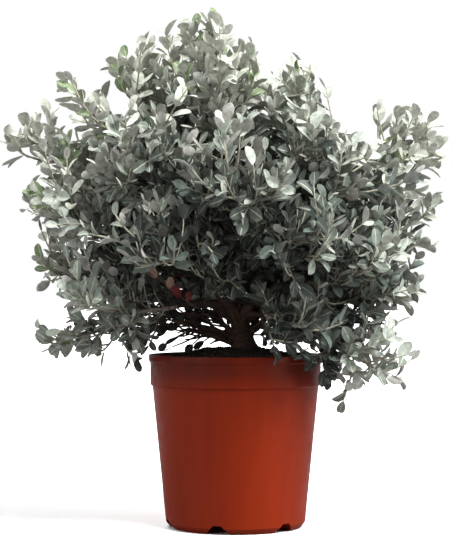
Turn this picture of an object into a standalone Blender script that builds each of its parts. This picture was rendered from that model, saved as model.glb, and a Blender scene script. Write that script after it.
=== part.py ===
"""A young pohutukawa in a 26 cm nursery pot, at its real size.

Metres, +Z up. The origin is the middle of the pot's underside, on the ground.
The plant is seen from -Y in its usual view, so +X is its right and -Y its front.
"""

import math
import random
from collections import namedtuple

import bmesh
import bpy
from mathutils import Matrix, Vector
from mathutils.bvhtree import BVHTree

CLEAR = 0.0003          # gap between two pieces that touch on the real plant
UP = Vector((0, 0, 1))

# Nursery pot
POT_HEIGHT = 0.260
POT_SEGMENTS = 40
WALL = 0.0020
FOOT_RADIUS = 0.0990    # flat underside
CORNER_HEIGHT = 0.0080  # bevelled corner between underside and wall
CORNER_RADIUS = 0.1055
WALL_TOP_RADIUS = 0.1260
BAND_HEIGHT = 0.0455    # wider band that stiffens the mouth
BAND_RADIUS = 0.1290
MOUTH_RADIUS = 0.1305
LIP_RADIUS = 0.1318
LIP_HEIGHT = 0.0095
STEP_HEIGHT = 0.0020
CHANNELS = 6            # drainage channels that show as notches in the foot
CHANNEL_FIRST = -105.1  # bearing in degrees of the notch nearest the front
CHANNEL_START = 0.0580  # distance from the pot's axis
CHANNEL_FOOT = 0.0370   # width on the ground
CHANNEL_ROOF = 0.0130   # width at the top
CHANNEL_HEIGHT = 0.0130
DRAIN_RADIUS = 0.0055
DRAIN_REACH = 0.0780

# Root ball, which fills the pot and rises round the stem
SOIL_FLOOR = CHANNEL_HEIGHT + WALL + 2 * CLEAR
SOIL_EDGE = POT_HEIGHT - 0.0110
SOIL_TOP = 0.2680
SOIL_PAD = 0.0480       # radius of the level ground under the trunk

# Trunk
TRUNK_FOOT = Vector((0.014, 0.0, SOIL_TOP + CLEAR))
TRUNK_TOP = Vector((0.002, 0.004, 0.322))
TRUNK_FOOT_RADIUS = 0.0185
TRUNK_TOP_RADIUS = 0.0125
FLARE = 0.0070          # how far the root flare stands out at the ground
FLARE_HEIGHT = 0.0160
BUTTRESSES = 5
TRUNK_SIDES = 15

# Limbs
MAIN_SIDES, SIDE_SIDES = 7, 5
MAIN_RADII = (0.0088, 0.0052)
SIDE_RADII = (0.0046, 0.0029)
LIMB_RINGS = 5
BOUGH_SAG = 0.0060      # how far a main bough hangs below a straight line
SIDE_LEAD = 0.10        # how strongly a side bough sets off along its carrier

# Foliage: stems and twigs
STEM_RADII = (0.0029, 0.0016)
TWIG_RADII = (0.0017, 0.0011)
STEM_FOOT = 0.0040      # straight part of a stem where it meets its bough
STEM_LEAD = 0.42        # share of its span that a stem keeps its bough's heading for
NODE_STEP = 0.0240      # between the nodes of a stem
FIRST_NODE = 0.0150
TWIG_LENGTHS = (0.030, 0.125)
TWIG_FILL = (0.62, 0.86)    # twig length as a share of its mass's half width
TWIG_SHRINK = 0.35      # how much shorter twigs are at a stem's tip, as a share
TWIG_ANGLES = (62.0, 34.0)  # degrees from the stem, at its foot and at its tip
TWIG_ANGLE_CHANCE = 7.0
TWIG_ROLL_CHANCE = 16.0
TWIG_LIFT = 0.16        # how far a twig's end rises, as a share of its length
TWIG_TRIES = (1.0, 0.8, 0.65, 0.5)  # shares of its length that a twig may be cut to
TWIG_PAIRS = ((1.0,), (0.55, 1.0), (0.45, 0.72, 1.0), (0.35, 0.65, 1.0))
PAIR_STEP = 0.034       # a twig longer by this much carries one leaf pair more

# Foliage: leaves, each of which stands for a spray of real ones
LEAF_LENGTH = 0.070
LEAF_WIDTH = 0.048
LEAF_THICKNESS = 0.0020
LEAF_WIDEST = 0.46      # share of its length where a blade is widest
LEAF_RIDGE = 0.40       # share of its length where it is thickest
LEAF_ANGLE = 54.0       # degrees between a blade and its shoot
TIP_ANGLE = 34.0        # the same for the last pair of a shoot
LEAF_BAND = 0.0030      # length of the band of a shoot that a pair grows from
TIP_LEAF = 0.060        # how far the last leaves reach past their stem
# Turns about the shoot in radians and sizes that are tried until a blade fits.
LEAF_TRIES = (
    (0, 1.0), (0, 1.0), (0.5, 1.0), (-0.5, 1.0), (0.9, 0.9), (-0.9, 0.9),
    (0, 0.8), (0.5, 0.8), (-0.5, 0.8), (1.2, 0.75), (-1.2, 0.75), (0, 0.65),
)
CANOPY_HEART = 0.40     # height of the point that the blades turn their backs on
SPACE_MARGIN = 0.0030   # a mass keeps this much nearer to its own stem than to another
LIMB_MARGIN = 0.0022
POT_MARGIN = 0.0040

Limb = namedtuple("Limb", "name station bearing reach height")
Arm = namedtuple("Arm", "name carrier station root bearing reach height half_width")

# Main boughs: station up the trunk from 0 to 1, bearing in degrees from +X towards
# +Y, then distance from the pot's axis and height of the tip.
BOUGHS = (
    Limb("bough_left", 0.72, 180, 0.118, 0.414),
    Limb("bough_right", 0.72, 2, 0.126, 0.406),
    Limb("bough_front_left", 0.72, 232, 0.090, 0.425),
    Limb("bough_front_right", 0.72, 312, 0.092, 0.418),
    Limb("bough_back", 0.72, 110, 0.090, 0.425),
    Limb("bough_leader", 0.80, 200, 0.024, 0.505),
)

# Each arm is a mass of foliage with the side bough that carries it. The bough leaves
# its carrier at a station from 0 to 1 and ends at the root, given as bearing, reach
# and height. With no root, the mass grows straight on from the carrier's own tip.
# The furthest leaf ends at the bearing, reach and height that follow.
ARMS = (
    Arm("left_skirt", "bough_left", 0.12, (190, 0.112, 0.316), 184, 0.304, 0.272, 0.060),
    Arm("left_low", "bough_left", 0.40, (168, 0.112, 0.356), 171, 0.322, 0.388, 0.078),
    Arm("left_mid", "bough_left", 0.70, (194, 0.112, 0.405), 187, 0.326, 0.490, 0.080),
    Arm("left_high", "bough_left", 1, None, 180, 0.340, 0.612, 0.086),
    Arm("left_shoulder", "bough_leader", 0.42, (182, 0.076, 0.480), 183, 0.280, 0.690, 0.086),
    Arm("top_left", "bough_leader", 0.66, (160, 0.050, 0.505), 170, 0.186, 0.732, 0.084),
    Arm("top", "bough_leader", 1, None, 205, 0.048, 0.791, 0.094),
    Arm("top_right", "bough_leader", 0.52, (10, 0.040, 0.480), 8, 0.122, 0.722, 0.096),
    Arm("right_high", "bough_right", 1, None, 358, 0.312, 0.622, 0.086),
    Arm("right_mid", "bough_right", 0.66, (12, 0.112, 0.395), 5, 0.324, 0.484, 0.080),
    Arm("right_low", "bough_right", 0.32, (352, 0.112, 0.342), 354, 0.290, 0.350, 0.074),
    Arm("right_skirt", "bough_front_right", 0.14, (330, 0.122, 0.302), 336, 0.262, 0.222, 0.056),
    Arm("front_skirt", "bough_front_right", 0.34, (294, 0.104, 0.326), 300, 0.240, 0.292, 0.064),
    Arm("front_left_low", "bough_front_left", 0.26, (216, 0.112, 0.332), 216, 0.300, 0.330, 0.076),
    Arm("front_right_low", "bough_front_right", 0.60, (328, 0.118, 0.370), 322, 0.296, 0.400, 0.078),
    Arm("front_left_mid", "bough_front_left", 0.62, (250, 0.096, 0.384), 240, 0.290, 0.430, 0.084),
    Arm("front_mid", "bough_front_left", 0.84, (272, 0.084, 0.430), 270, 0.284, 0.505, 0.086),
    Arm("front_right_mid", "bough_front_right", 0.84, (296, 0.110, 0.410), 298, 0.292, 0.440, 0.086),
    Arm("front_left_high", "bough_front_left", 1, None, 226, 0.262, 0.592, 0.090),
    Arm("front_right_high", "bough_front_right", 1, None, 312, 0.262, 0.575, 0.090),
    Arm("back_left_low", "bough_back", 0.38, (140, 0.110, 0.350), 140, 0.295, 0.362, 0.086),
    Arm("back_right_low", "bough_back", 0.30, (44, 0.108, 0.345), 46, 0.294, 0.360, 0.086),
    Arm("back_left_high", "bough_back", 1, None, 130, 0.262, 0.602, 0.092),
    Arm("back_mid", "bough_back", 0.66, (88, 0.112, 0.400), 92, 0.298, 0.462, 0.090),
    Arm("back_right_high", "bough_back", 0.88, (58, 0.096, 0.455), 54, 0.258, 0.600, 0.092),
)


def clear_scene():
    for thing in list(bpy.data.objects):
        bpy.data.objects.remove(thing, do_unlink=True)


def material(name, colour, roughness):
    made = bpy.data.materials.new(name)
    made.use_nodes = True
    shader = made.node_tree.nodes["Principled BSDF"]
    shader.inputs["Base Color"].default_value = (*colour, 1)
    shader.inputs["Roughness"].default_value = roughness
    shader.inputs["Metallic"].default_value = 0
    return made


def add_mesh(name, points, faces, finish, collection=None):
    mesh = bpy.data.meshes.new(name)
    mesh.from_pydata([tuple(p) for p in points], [], faces)
    mesh.materials.append(finish)
    thing = bpy.data.objects.new(name, mesh)
    (collection or bpy.context.scene.collection).objects.link(thing)
    return thing


def settle(thing):
    """Fixes a piece's modifiers into its mesh and keeps its largest body."""
    graph = bpy.context.evaluated_depsgraph_get()
    mesh = bpy.data.meshes.new_from_object(thing.evaluated_get(graph))
    thing.modifiers.clear()
    thing.data = mesh
    work = bmesh.new()
    work.from_mesh(mesh)
    unseen, bodies = set(work.verts), []
    while unseen:
        body, edge = set(), [unseen.pop()]
        while edge:
            corner = edge.pop()
            body.add(corner)
            near = {e.other_vert(corner) for e in corner.link_edges} & unseen
            unseen -= near
            edge.extend(near)
        bodies.append(body)
    largest = max(bodies, key=len)
    scraps = [v for body in bodies if body is not largest for v in body]
    bmesh.ops.delete(work, geom=scraps, context="VERTS")
    work.to_mesh(mesh)
    work.free()


def boolean(thing, operation, collection, solver="EXACT"):
    step = thing.modifiers.new(operation.lower(), "BOOLEAN")
    step.operation = operation
    step.operand_type = "COLLECTION"
    step.collection = collection
    step.solver = solver
    bpy.context.view_layer.update()
    settle(thing)
    for tool in list(collection.objects):
        bpy.data.objects.remove(tool, do_unlink=True)
    bpy.data.collections.remove(collection)


def toolbox(name):
    made = bpy.data.collections.new(name)
    bpy.context.scene.collection.children.link(made)
    return made


def polar(bearing, reach, height):
    turn = math.radians(bearing)
    return Vector((reach * math.cos(turn), reach * math.sin(turn), height))


def lathe(profile, segments):
    """Points and faces of a profile of (radius, height) turned about Z, from axis to axis."""
    points, rings = [], []
    for radius, height in profile:
        if radius == 0:
            rings.append([len(points)] * segments)
            points.append(Vector((0, 0, height)))
            continue
        rings.append(list(range(len(points), len(points) + segments)))
        points += [
            Vector((radius * math.cos(a), radius * math.sin(a), height))
            for a in (math.tau * k / segments for k in range(segments))
        ]
    faces = []
    for low, high in zip(rings, rings[1:]):
        for k in range(segments):
            after = (k + 1) % segments
            corners = (low[k], low[after], high[after], high[k])
            faces.append(tuple(dict.fromkeys(corners)))
    return points, faces


def wall_radius(height):
    """Outer radius of the pot's plain wall."""
    top = POT_HEIGHT - BAND_HEIGHT - STEP_HEIGHT
    share = (height - CORNER_HEIGHT) / (top - CORNER_HEIGHT)
    return CORNER_RADIUS + (WALL_TOP_RADIUS - CORNER_RADIUS) * share


def channel_prism(name, bearing, grow, finish, collection):
    """A radial bar of the drainage channel's section, larger all round by grow."""
    foot, roof, high = CHANNEL_FOOT / 2, CHANNEL_ROOF / 2, CHANNEL_HEIGHT
    slope = (foot - roof) / high
    low = -0.004
    wide, narrow = foot - slope * low + grow, roof + grow
    section = ((-wide, low), (wide, low), (narrow, high + grow), (-narrow, high + grow))
    ends = (CHANNEL_START - grow, MOUTH_RADIUS)
    points = [Vector((x, y, z)) for x in ends for y, z in section]
    faces = [(3, 2, 1, 0), (4, 5, 6, 7)]
    faces += [(k, (k + 1) % 4, 4 + (k + 1) % 4, 4 + k) for k in range(4)]
    bar = add_mesh(name, points, faces, finish, collection)
    bar.data.transform(Matrix.Rotation(math.radians(bearing), 4, "Z"))


def build_pot(finish):
    """The outside, less a hollow that leaves a ridge over each channel, less the channels."""
    top = POT_HEIGHT - BAND_HEIGHT
    lip = POT_HEIGHT - LIP_HEIGHT
    outside = [
        (0, 0),
        (FOOT_RADIUS, 0),
        (CORNER_RADIUS, CORNER_HEIGHT),
        (WALL_TOP_RADIUS, top - STEP_HEIGHT),
        (BAND_RADIUS, top),
        (MOUTH_RADIUS, lip - 0.001),
        (LIP_RADIUS, lip),
        (LIP_RADIUS, POT_HEIGHT - 0.0015),
        (LIP_RADIUS - 0.0015, POT_HEIGHT),
        (0, POT_HEIGHT),
    ]
    inside = [
        (0, WALL),
        (FOOT_RADIUS - WALL, WALL),
        (CORNER_RADIUS - WALL, CORNER_HEIGHT),
        (WALL_TOP_RADIUS - WALL, top - STEP_HEIGHT + 0.001),
        (BAND_RADIUS - WALL, top + 0.001),
        (MOUTH_RADIUS - WALL, POT_HEIGHT),
        (MOUTH_RADIUS - WALL, POT_HEIGHT + 0.01),
        (0, POT_HEIGHT + 0.01),
    ]
    bearings = [CHANNEL_FIRST + 360 / CHANNELS * k for k in range(CHANNELS)]
    cuts = toolbox("cuts")
    hollow = add_mesh("hollow", *lathe(inside, POT_SEGMENTS), finish, cuts)
    ridges = toolbox("ridges")
    for bearing in bearings:
        channel_prism("ridge", bearing, WALL, finish, ridges)
    boolean(hollow, "DIFFERENCE", ridges)
    for bearing in bearings:
        channel_prism("channel", bearing, 0, finish, cuts)
        bore = [(0, -0.01), (DRAIN_RADIUS, -0.01), (DRAIN_RADIUS, 0.03), (0, 0.03)]
        drain = add_mesh("drain", *lathe(bore, 8), finish, cuts)
        drain.data.transform(Matrix.Translation(polar(bearing, DRAIN_REACH, 0)))
    pot = add_mesh("pot", *lathe(outside, POT_SEGMENTS), finish)
    boolean(pot, "DIFFERENCE", cuts)
    pot.data.set_sharp_from_angle(angle=math.radians(30))


def build_soil(finish):
    gap = WALL + 2 * CLEAR
    top = POT_HEIGHT - BAND_HEIGHT
    profile = [
        (0, SOIL_FLOOR),
        (wall_radius(SOIL_FLOOR) - gap, SOIL_FLOOR),
        (WALL_TOP_RADIUS - gap, top - STEP_HEIGHT),
        (WALL_TOP_RADIUS - gap, top + 0.001),
        (BAND_RADIUS - gap, top + 0.004),
        (MOUTH_RADIUS - gap - 0.0006, SOIL_EDGE - 0.004),
        (MOUTH_RADIUS - gap - 0.0050, SOIL_EDGE),
        (0.092, SOIL_EDGE + 0.010),
        (SOIL_PAD, SOIL_TOP),
        (0, SOIL_TOP),
    ]
    add_mesh("soil", *lathe(profile, 32), finish)


def bend(start, lead, end, steps):
    """Points of a quadratic curve that leaves start towards lead and ends at end."""
    shares = [k / steps for k in range(steps + 1)]
    return [start * (1 - t) ** 2 + lead * 2 * t * (1 - t) + end * t * t for t in shares]


def taper(radii, count):
    first, last = radii
    return [first + (last - first) * k / (count - 1) for k in range(count)]


def tangents(path):
    ends = zip([path[0]] + path[:-1], path[1:] + [path[-1]])
    return [(b - a).normalized() for a, b in ends]


def crosswise(direction):
    """A unit vector square to direction, level where it can be."""
    flat = direction.cross(UP)
    return flat.normalized() if flat.length > 1e-4 else Vector((1, 0, 0))


def tube(path, radii, sides):
    """Points and faces of a round bar along path, closed at both ends."""
    points, faces = [], []
    across = crosswise(tangents(path)[0])
    for centre, along, radius in zip(path, tangents(path), radii):
        across = (across - along * across.dot(along)).normalized()
        square = along.cross(across)
        points += [
            centre + (across * math.cos(a) + square * math.sin(a)) * radius
            for a in (math.tau * k / sides for k in range(sides))
        ]
    for ring in range(len(path) - 1):
        low = ring * sides
        for k in range(sides):
            after = (k + 1) % sides
            faces.append((low + k, low + after, low + sides + after, low + sides + k))
    last = (len(path) - 1) * sides
    faces.append(tuple(reversed(range(sides))))
    faces.append(tuple(range(last, last + sides)))
    return points, faces


def path_length(path):
    return sum((b - a).length for a, b in zip(path, path[1:]))


def along_path(path, share):
    """Point and direction at a share of a path's length."""
    lengths = [(b - a).length for a, b in zip(path, path[1:])]
    left = share * sum(lengths)
    for a, b, length in zip(path, path[1:], lengths):
        if left <= length:
            return a.lerp(b, left / length), (b - a).normalized()
        left -= length
    return path[-1].copy(), (path[-1] - path[-2]).normalized()


def trunk_path():
    lead = Vector((TRUNK_FOOT.x - 0.004, TRUNK_FOOT.y, TRUNK_FOOT.z + 0.030))
    return bend(TRUNK_FOOT, lead, TRUNK_TOP, LIMB_RINGS)


def build_trunk(finish):
    path = trunk_path()
    radii = taper((TRUNK_FOOT_RADIUS, TRUNK_TOP_RADIUS), len(path))
    points, faces = tube(path, radii, TRUNK_SIDES)
    for number, point in enumerate(points):
        rise = max(0.0, 1 - (point.z - TRUNK_FOOT.z) / FLARE_HEIGHT)
        out = Vector((point.x - TRUNK_FOOT.x, point.y - TRUNK_FOOT.y, 0))
        lobe = 0.6 + 0.4 * math.cos(BUTTRESSES * math.atan2(out.y, out.x))
        if number < TRUNK_SIDES:
            point.z = TRUNK_FOOT.z
        points[number] = point + out.normalized() * FLARE * rise * rise * lobe
    add_mesh("trunk", points, faces, finish)


def main_path(limb):
    """A main bough springs from the trunk's head, so that the plant forks near the soil."""
    start, _ = along_path(trunk_path(), limb.station)
    tip = polar(limb.bearing, limb.reach, limb.height)
    lead = start.lerp(tip, 0.45) - UP * BOUGH_SAG
    return bend(start, lead, tip, LIMB_RINGS)


def side_path(arm, carrier_path):
    start, forward = along_path(carrier_path, arm.station)
    tip = polar(*arm.root)
    lead = start.lerp(tip, 0.40) + forward * (tip - start).length * SIDE_LEAD
    return bend(start, lead, tip, LIMB_RINGS - 1)


def stem_path(arm, limb_path):
    """The stem of a mass goes on from its bough's tip and curves up to its furthest shoot."""
    forward = tangents(limb_path)[-1]
    start = limb_path[-1] + forward * CLEAR
    furthest = polar(arm.bearing, arm.reach, arm.height)
    tip = furthest.lerp(start, TIP_LEAF / (furthest - start).length)
    span = (tip - start).length
    foot = start + forward * STEM_FOOT
    return [start] + bend(foot, start + forward * span * STEM_LEAD, tip, 6)


def limb_paths():
    mains = {limb.name: main_path(limb) for limb in BOUGHS}
    rooted = [arm for arm in ARMS if arm.root]
    sides = {"bough_" + arm.name: side_path(arm, mains[arm.carrier]) for arm in rooted}
    return mains, sides


def add_fattened(path, radii, sides, finish, collection):
    """A cutter for a limb's neighbours: the limb itself, larger all round by CLEAR."""
    along = tangents(path)
    longer = [path[0] - along[0] * CLEAR, *path[1:-1], path[-1] + along[-1] * CLEAR]
    grown = [radius + CLEAR for radius in taper(radii, len(path))]
    add_mesh("fattened", *tube(longer, grown, sides), finish, collection)


def build_limbs(finish, mains, sides):
    """Each limb is cut clear of the trunk and of those made before it that it touches."""
    made = [(trunk_path(), (TRUNK_FOOT_RADIUS, TRUNK_TOP_RADIUS), TRUNK_SIDES)]
    limbs = [(name, path, MAIN_RADII, MAIN_SIDES) for name, path in mains.items()]
    limbs += [("side_" + name, path, SIDE_RADII, SIDE_SIDES) for name, path in sides.items()]
    for name, path, radii, count in limbs:
        limb = add_mesh(name, *tube(path, taper(radii, len(path)), count), finish)
        cutters = toolbox("cutters")
        for other in made:
            if nearest(path, other[0]) < radii[0] + other[1][0] + CLEAR:
                add_fattened(*other, finish, cutters)
        boolean(limb, "DIFFERENCE", cutters)
        made.append((path, radii, count))


def nearest(path, other):
    """Least distance between two paths, sampled."""
    fine = [along_path(path, k / 20)[0] for k in range(21)]
    return min(distance_to_path(p, other) for p in fine)


def distance_to_path(point, path):
    best = 1e9
    for a, b in zip(path, path[1:]):
        edge = b - a
        share = max(0.0, min(1.0, (point - a).dot(edge) / edge.length_squared))
        best = min(best, (point - a - edge * share).length)
    return best


def off_pot(point):
    """True where a point is clear of the pot and the soil."""
    reach = math.hypot(point.x, point.y)
    return point.z > SOIL_TOP + POT_MARGIN or reach > LIP_RADIUS + POT_MARGIN


def leaf_points(base, along, face, length):
    """Left, tip, right and raised middle of a blade that starts at base."""
    across = face.cross(along)
    half = length * LEAF_WIDTH / LEAF_LENGTH / 2
    widest = base + along * length * LEAF_WIDEST
    return (
        widest - across * half,
        base + along * length,
        widest + across * half,
        base + along * length * LEAF_RIDGE + face * LEAF_THICKNESS,
    )


def leaf_hull(base, blade):
    """The blade's surface as a tree that can be tested against others."""
    left, tip, right, middle = range(1, 5)
    faces = [(0, right, left), (left, right, tip), (0, left, middle)]
    faces += [(middle, left, tip), (middle, tip, right), (middle, right, 0)]
    return BVHTree.FromPolygons([base, *blade], faces)


def leaf_face(along, away, rule):
    """The way a blade's upper side looks: out of the canopy and up, with some chance in it."""
    chance = Vector((rule.uniform(-1, 1), rule.uniform(-1, 1), rule.uniform(-1, 1)))
    face = away * 0.7 + UP * 0.3 + chance * 0.9
    face -= along * face.dot(along)
    return face.normalized()


def blade_faces(low_left, low_right, high_right, high_left, left):
    """Faces of a blade that opens out of one side of a shoot.

    The first four are that side's corners. The blade's own points start at left.
    """
    tip, right, middle = left + 1, left + 2, left + 3
    return [
        (middle, high_left, left),
        (middle, left, tip),
        (middle, tip, right),
        (middle, right, high_right),
        (middle, high_right, high_left),
        (high_left, low_left, left),
        (high_right, right, low_right),
        (low_left, low_right, left),
        (low_right, right, left),
        (left, right, tip),
    ]


def shoot(path, radii, pairs, take_leaf):
    """Points and faces of a three-sided shoot whose leaves grow out of its own sides.

    Each of pairs is a share of the path's length where two sides of a short band open
    into two blades. take_leaf says how a blade goes, or None where it would not fit.
    """
    band = LEAF_BAND / path_length(path)
    shares = [0.0]
    for share in pairs:
        shares += [share - band, share]
    places = [along_path(path, share) for share in shares]
    points, faces, corners = [], [], []
    across = crosswise(places[0][1])
    for (centre, along), share in zip(places, shares):
        across = (across - along * across.dot(along)).normalized()
        square = along.cross(across)
        turns = [math.tau * k / 3 for k in range(3)]
        corners.append([across * math.cos(a) + square * math.sin(a) for a in turns])
        radius = radii[0] + (radii[1] - radii[0]) * share
        points += [centre + corner * radius for corner in corners[-1]]
    for ring in range(len(shares) - 1):
        blades = [None] * 3
        if ring % 2 == 1:
            pair = ring // 2
            first, second = pair % 3, (pair + 1) % 3
            ways = [corners[ring][k] + corners[ring][(k + 1) % 3] for k in (first, second)]
            fan = (ways[0] - ways[1]).normalized()
            blades[first] = take_leaf(*places[ring], fan, pair)
            blades[second] = take_leaf(*places[ring], -fan, pair)
        for k, blade in enumerate(blades):
            low, after = 3 * ring, (k + 1) % 3
            side = (low + k, low + after, low + 3 + after, low + 3 + k)
            if blade is None:
                faces.append(side)
            else:
                faces += blade_faces(*side, len(points))
                points += blade
    last = 3 * len(shares) - 3
    faces += [(2, 1, 0), (last, last + 1, last + 2)]
    return points, faces


def stem_nodes(stem):
    """Number, point, direction and share of each node on a mass's stem."""
    length = path_length(stem)
    for node in range(int((length - FIRST_NODE) / NODE_STEP)):
        share = (FIRST_NODE + node * NODE_STEP) / length
        yield node, *along_path(stem, share), share


def twig_path(seed, node, side, point, forward, share, room):
    """A twig of one node: one of an opposite pair, each pair square to the last."""
    rule = random.Random(seed * 1009 + node * 17 + side)
    roll = 90 * (node // 2) + 180 * side + 35 * (seed % 4)
    roll = math.radians(roll + rule.uniform(-TWIG_ROLL_CHANCE, TWIG_ROLL_CHANCE))
    across = crosswise(forward)
    out = across * math.cos(roll) + forward.cross(across) * math.sin(roll)
    lean = TWIG_ANGLES[0] + (TWIG_ANGLES[1] - TWIG_ANGLES[0]) * share
    lean = math.radians(lean + rule.uniform(-TWIG_ANGLE_CHANCE, TWIG_ANGLE_CHANCE))
    heading = forward * math.cos(lean) + out * math.sin(lean)
    length = room * rule.uniform(*TWIG_FILL) * (1 - TWIG_SHRINK * share)
    length = max(TWIG_LENGTHS[0], min(TWIG_LENGTHS[1], length))
    end = point + heading * length + UP * length * TWIG_LIFT
    return bend(point, point + heading * length * 0.55, end, 2)


def hull_of(path, radii):
    return BVHTree.FromPolygons(*tube(path, taper(radii, len(path)), 3))


class Mass:
    """One mass of foliage: a stem, its twigs and the leaves that fit its own space."""

    def __init__(self, number, stems, limbs):
        self.number = number
        self.arm = ARMS[number]
        self.stem = stems[number]
        self.others = [stem for stem in stems if stem is not self.stem]
        self.furthest = polar(self.arm.bearing, self.arm.reach, self.arm.height)
        self.ahead = (self.furthest - self.stem[0]).normalized()
        near = self.arm.half_width + LEAF_LENGTH
        self.limbs = [(p, r) for p, r in limbs if nearest(p, self.stem) < near]
        self.leaf_hulls, self.shoot_hulls = [], []

    def owns(self, point):
        mine = distance_to_path(point, self.stem)
        if mine > self.arm.half_width or (point - self.furthest).dot(self.ahead) > 0:
            return False
        return all(distance_to_path(point, other) > mine + SPACE_MARGIN for other in self.others)

    def fits(self, points):
        return all(off_pot(p) and self.owns(p) for p in points) and all(
            distance_to_path(p, path) > radius + LIMB_MARGIN
            for p in points
            for path, radius in self.limbs
        )

    def leaf_taker(self, rule, last_pair):
        """A function that finds a place for each blade of one shoot."""
        shoots = list(self.shoot_hulls)
        heart = Vector((0, 0, CANOPY_HEART))

        def take_leaf(centre, along, way, pair):
            spread = math.radians(LEAF_ANGLE if pair < last_pair else TIP_ANGLE)
            for turn, size in LEAF_TRIES:
                out = way * math.cos(turn) + along.cross(way) * math.sin(turn)
                reach = (along * math.cos(spread) + out * math.sin(spread)).normalized()
                face = leaf_face(reach, (centre - heart).normalized(), rule)
                if face.dot(along) < 0:
                    face = -face
                blade = leaf_points(centre, reach, face, LEAF_LENGTH * size)
                hull = leaf_hull(centre + way * STEM_RADII[0], blade)
                crossing = any(hull.overlap(other) for other in self.leaf_hulls + shoots)
                if self.fits(blade) and not crossing:
                    self.leaf_hulls.append(hull)
                    return blade
            return None

        return take_leaf

    def add_twig(self, path, rule, finish, collection):
        """The longest cut of a twig that fits, with its leaves."""
        for share in TWIG_TRIES:
            cut = [path[0].lerp(point, share) for point in path]
            hull = hull_of(cut, TWIG_RADII)
            if self.fits(cut[1:]) and not any(hull.overlap(leaf) for leaf in self.leaf_hulls):
                pairs = TWIG_PAIRS[min(3, int((cut[-1] - cut[0]).length / PAIR_STEP))]
                shape = shoot(cut, TWIG_RADII, pairs, self.leaf_taker(rule, len(pairs) - 1))
                add_mesh("twig", *shape, finish, collection)
                self.shoot_hulls.append(hull)
                return

    def build(self, finish):
        rule = random.Random(self.number * 331)
        nodes = list(stem_nodes(self.stem))
        pairs = [share for node, _, _, share in nodes if node % 2 == 1] + [1.0]
        shape = shoot(self.stem, STEM_RADII, pairs, self.leaf_taker(rule, len(pairs) - 1))
        mass = add_mesh("foliage_" + self.arm.name, *shape, finish)
        self.shoot_hulls.append(hull_of(self.stem, STEM_RADII))
        twigs = toolbox("twigs")
        for node, point, forward, share in nodes[::2]:
            for side in (0, 1):
                room = self.arm.half_width
                path = twig_path(self.number, node, side, point, forward, share, room)
                self.add_twig(path, rule, finish, twigs)
        boolean(mass, "UNION", twigs, "MANIFOLD")


def main():
    clear_scene()
    plastic = material("pot_plastic", (0.27, 0.052, 0.022), 0.42)
    earth = material("potting_soil", (0.020, 0.015, 0.011), 0.95)
    bark = material("bark", (0.085, 0.062, 0.048), 0.88)
    leaf = material("felted_leaf", (0.205, 0.245, 0.200), 0.78)
    build_pot(plastic)
    build_soil(earth)
    build_trunk(bark)
    mains, sides = limb_paths()
    build_limbs(bark, mains, sides)
    stems = [stem_path(arm, sides["bough_" + arm.name] if arm.root else mains[arm.carrier]) for arm in ARMS]
    limbs = [(trunk_path(), TRUNK_FOOT_RADIUS)]
    limbs += [(path, MAIN_RADII[0]) for path in mains.values()]
    limbs += [(path, SIDE_RADII[0]) for path in sides.values()]
    for number in range(len(ARMS)):
        Mass(number, stems, limbs).build(leaf)


main()
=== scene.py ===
"""The looks of a young pohutukawa in a 26 cm nursery pot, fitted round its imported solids.

Metres, +Z up. The origin is the middle of the pot's underside, on the ground. The plant is
seen from -Y, so +X is its right and -Y its front. Limbs, stems and twigs follow the rules
of the solids and keep to the same spaces, carried on to sprigs with leaves of real size.
"""

import itertools
import math
import random
from collections import namedtuple

import bpy
import numpy as np
from mathutils import Matrix, Vector, noise
from mathutils.kdtree import KDTree

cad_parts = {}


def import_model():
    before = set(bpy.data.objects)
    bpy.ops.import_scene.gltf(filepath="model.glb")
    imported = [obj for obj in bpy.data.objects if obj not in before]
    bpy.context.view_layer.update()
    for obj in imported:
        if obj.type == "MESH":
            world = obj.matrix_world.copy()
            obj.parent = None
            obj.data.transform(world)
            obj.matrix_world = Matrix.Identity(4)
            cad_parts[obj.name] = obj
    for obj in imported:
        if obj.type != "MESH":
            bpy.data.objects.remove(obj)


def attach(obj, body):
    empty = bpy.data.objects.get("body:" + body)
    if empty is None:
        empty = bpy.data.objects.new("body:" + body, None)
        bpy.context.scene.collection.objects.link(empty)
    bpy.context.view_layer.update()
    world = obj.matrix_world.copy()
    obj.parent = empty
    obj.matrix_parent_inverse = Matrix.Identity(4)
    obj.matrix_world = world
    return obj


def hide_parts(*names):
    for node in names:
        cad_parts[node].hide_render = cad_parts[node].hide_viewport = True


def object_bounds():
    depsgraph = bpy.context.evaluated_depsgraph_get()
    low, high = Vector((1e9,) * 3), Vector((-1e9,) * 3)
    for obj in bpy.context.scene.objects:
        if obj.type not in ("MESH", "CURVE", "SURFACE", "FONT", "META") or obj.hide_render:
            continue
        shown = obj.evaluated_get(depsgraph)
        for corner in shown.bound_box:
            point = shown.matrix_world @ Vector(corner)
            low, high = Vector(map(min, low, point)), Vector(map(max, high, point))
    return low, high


UP = Vector((0, 0, 1))

# Photograph: its size in pixels, and what its view comes from
PHOTO_WIDTH, PHOTO_HEIGHT = 452, 540
AXIS_COLUMN = 235.5     # pixel column of the pot's axis
HORIZON_ROW = 291.0     # pixel row at the camera's own height
FOCAL_PIXELS = 1700.0
CAMERA_AWAY = 2.585     # in front of the pot's axis
CAMERA_HEIGHT = 0.356
SENSOR = 36.0

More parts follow.
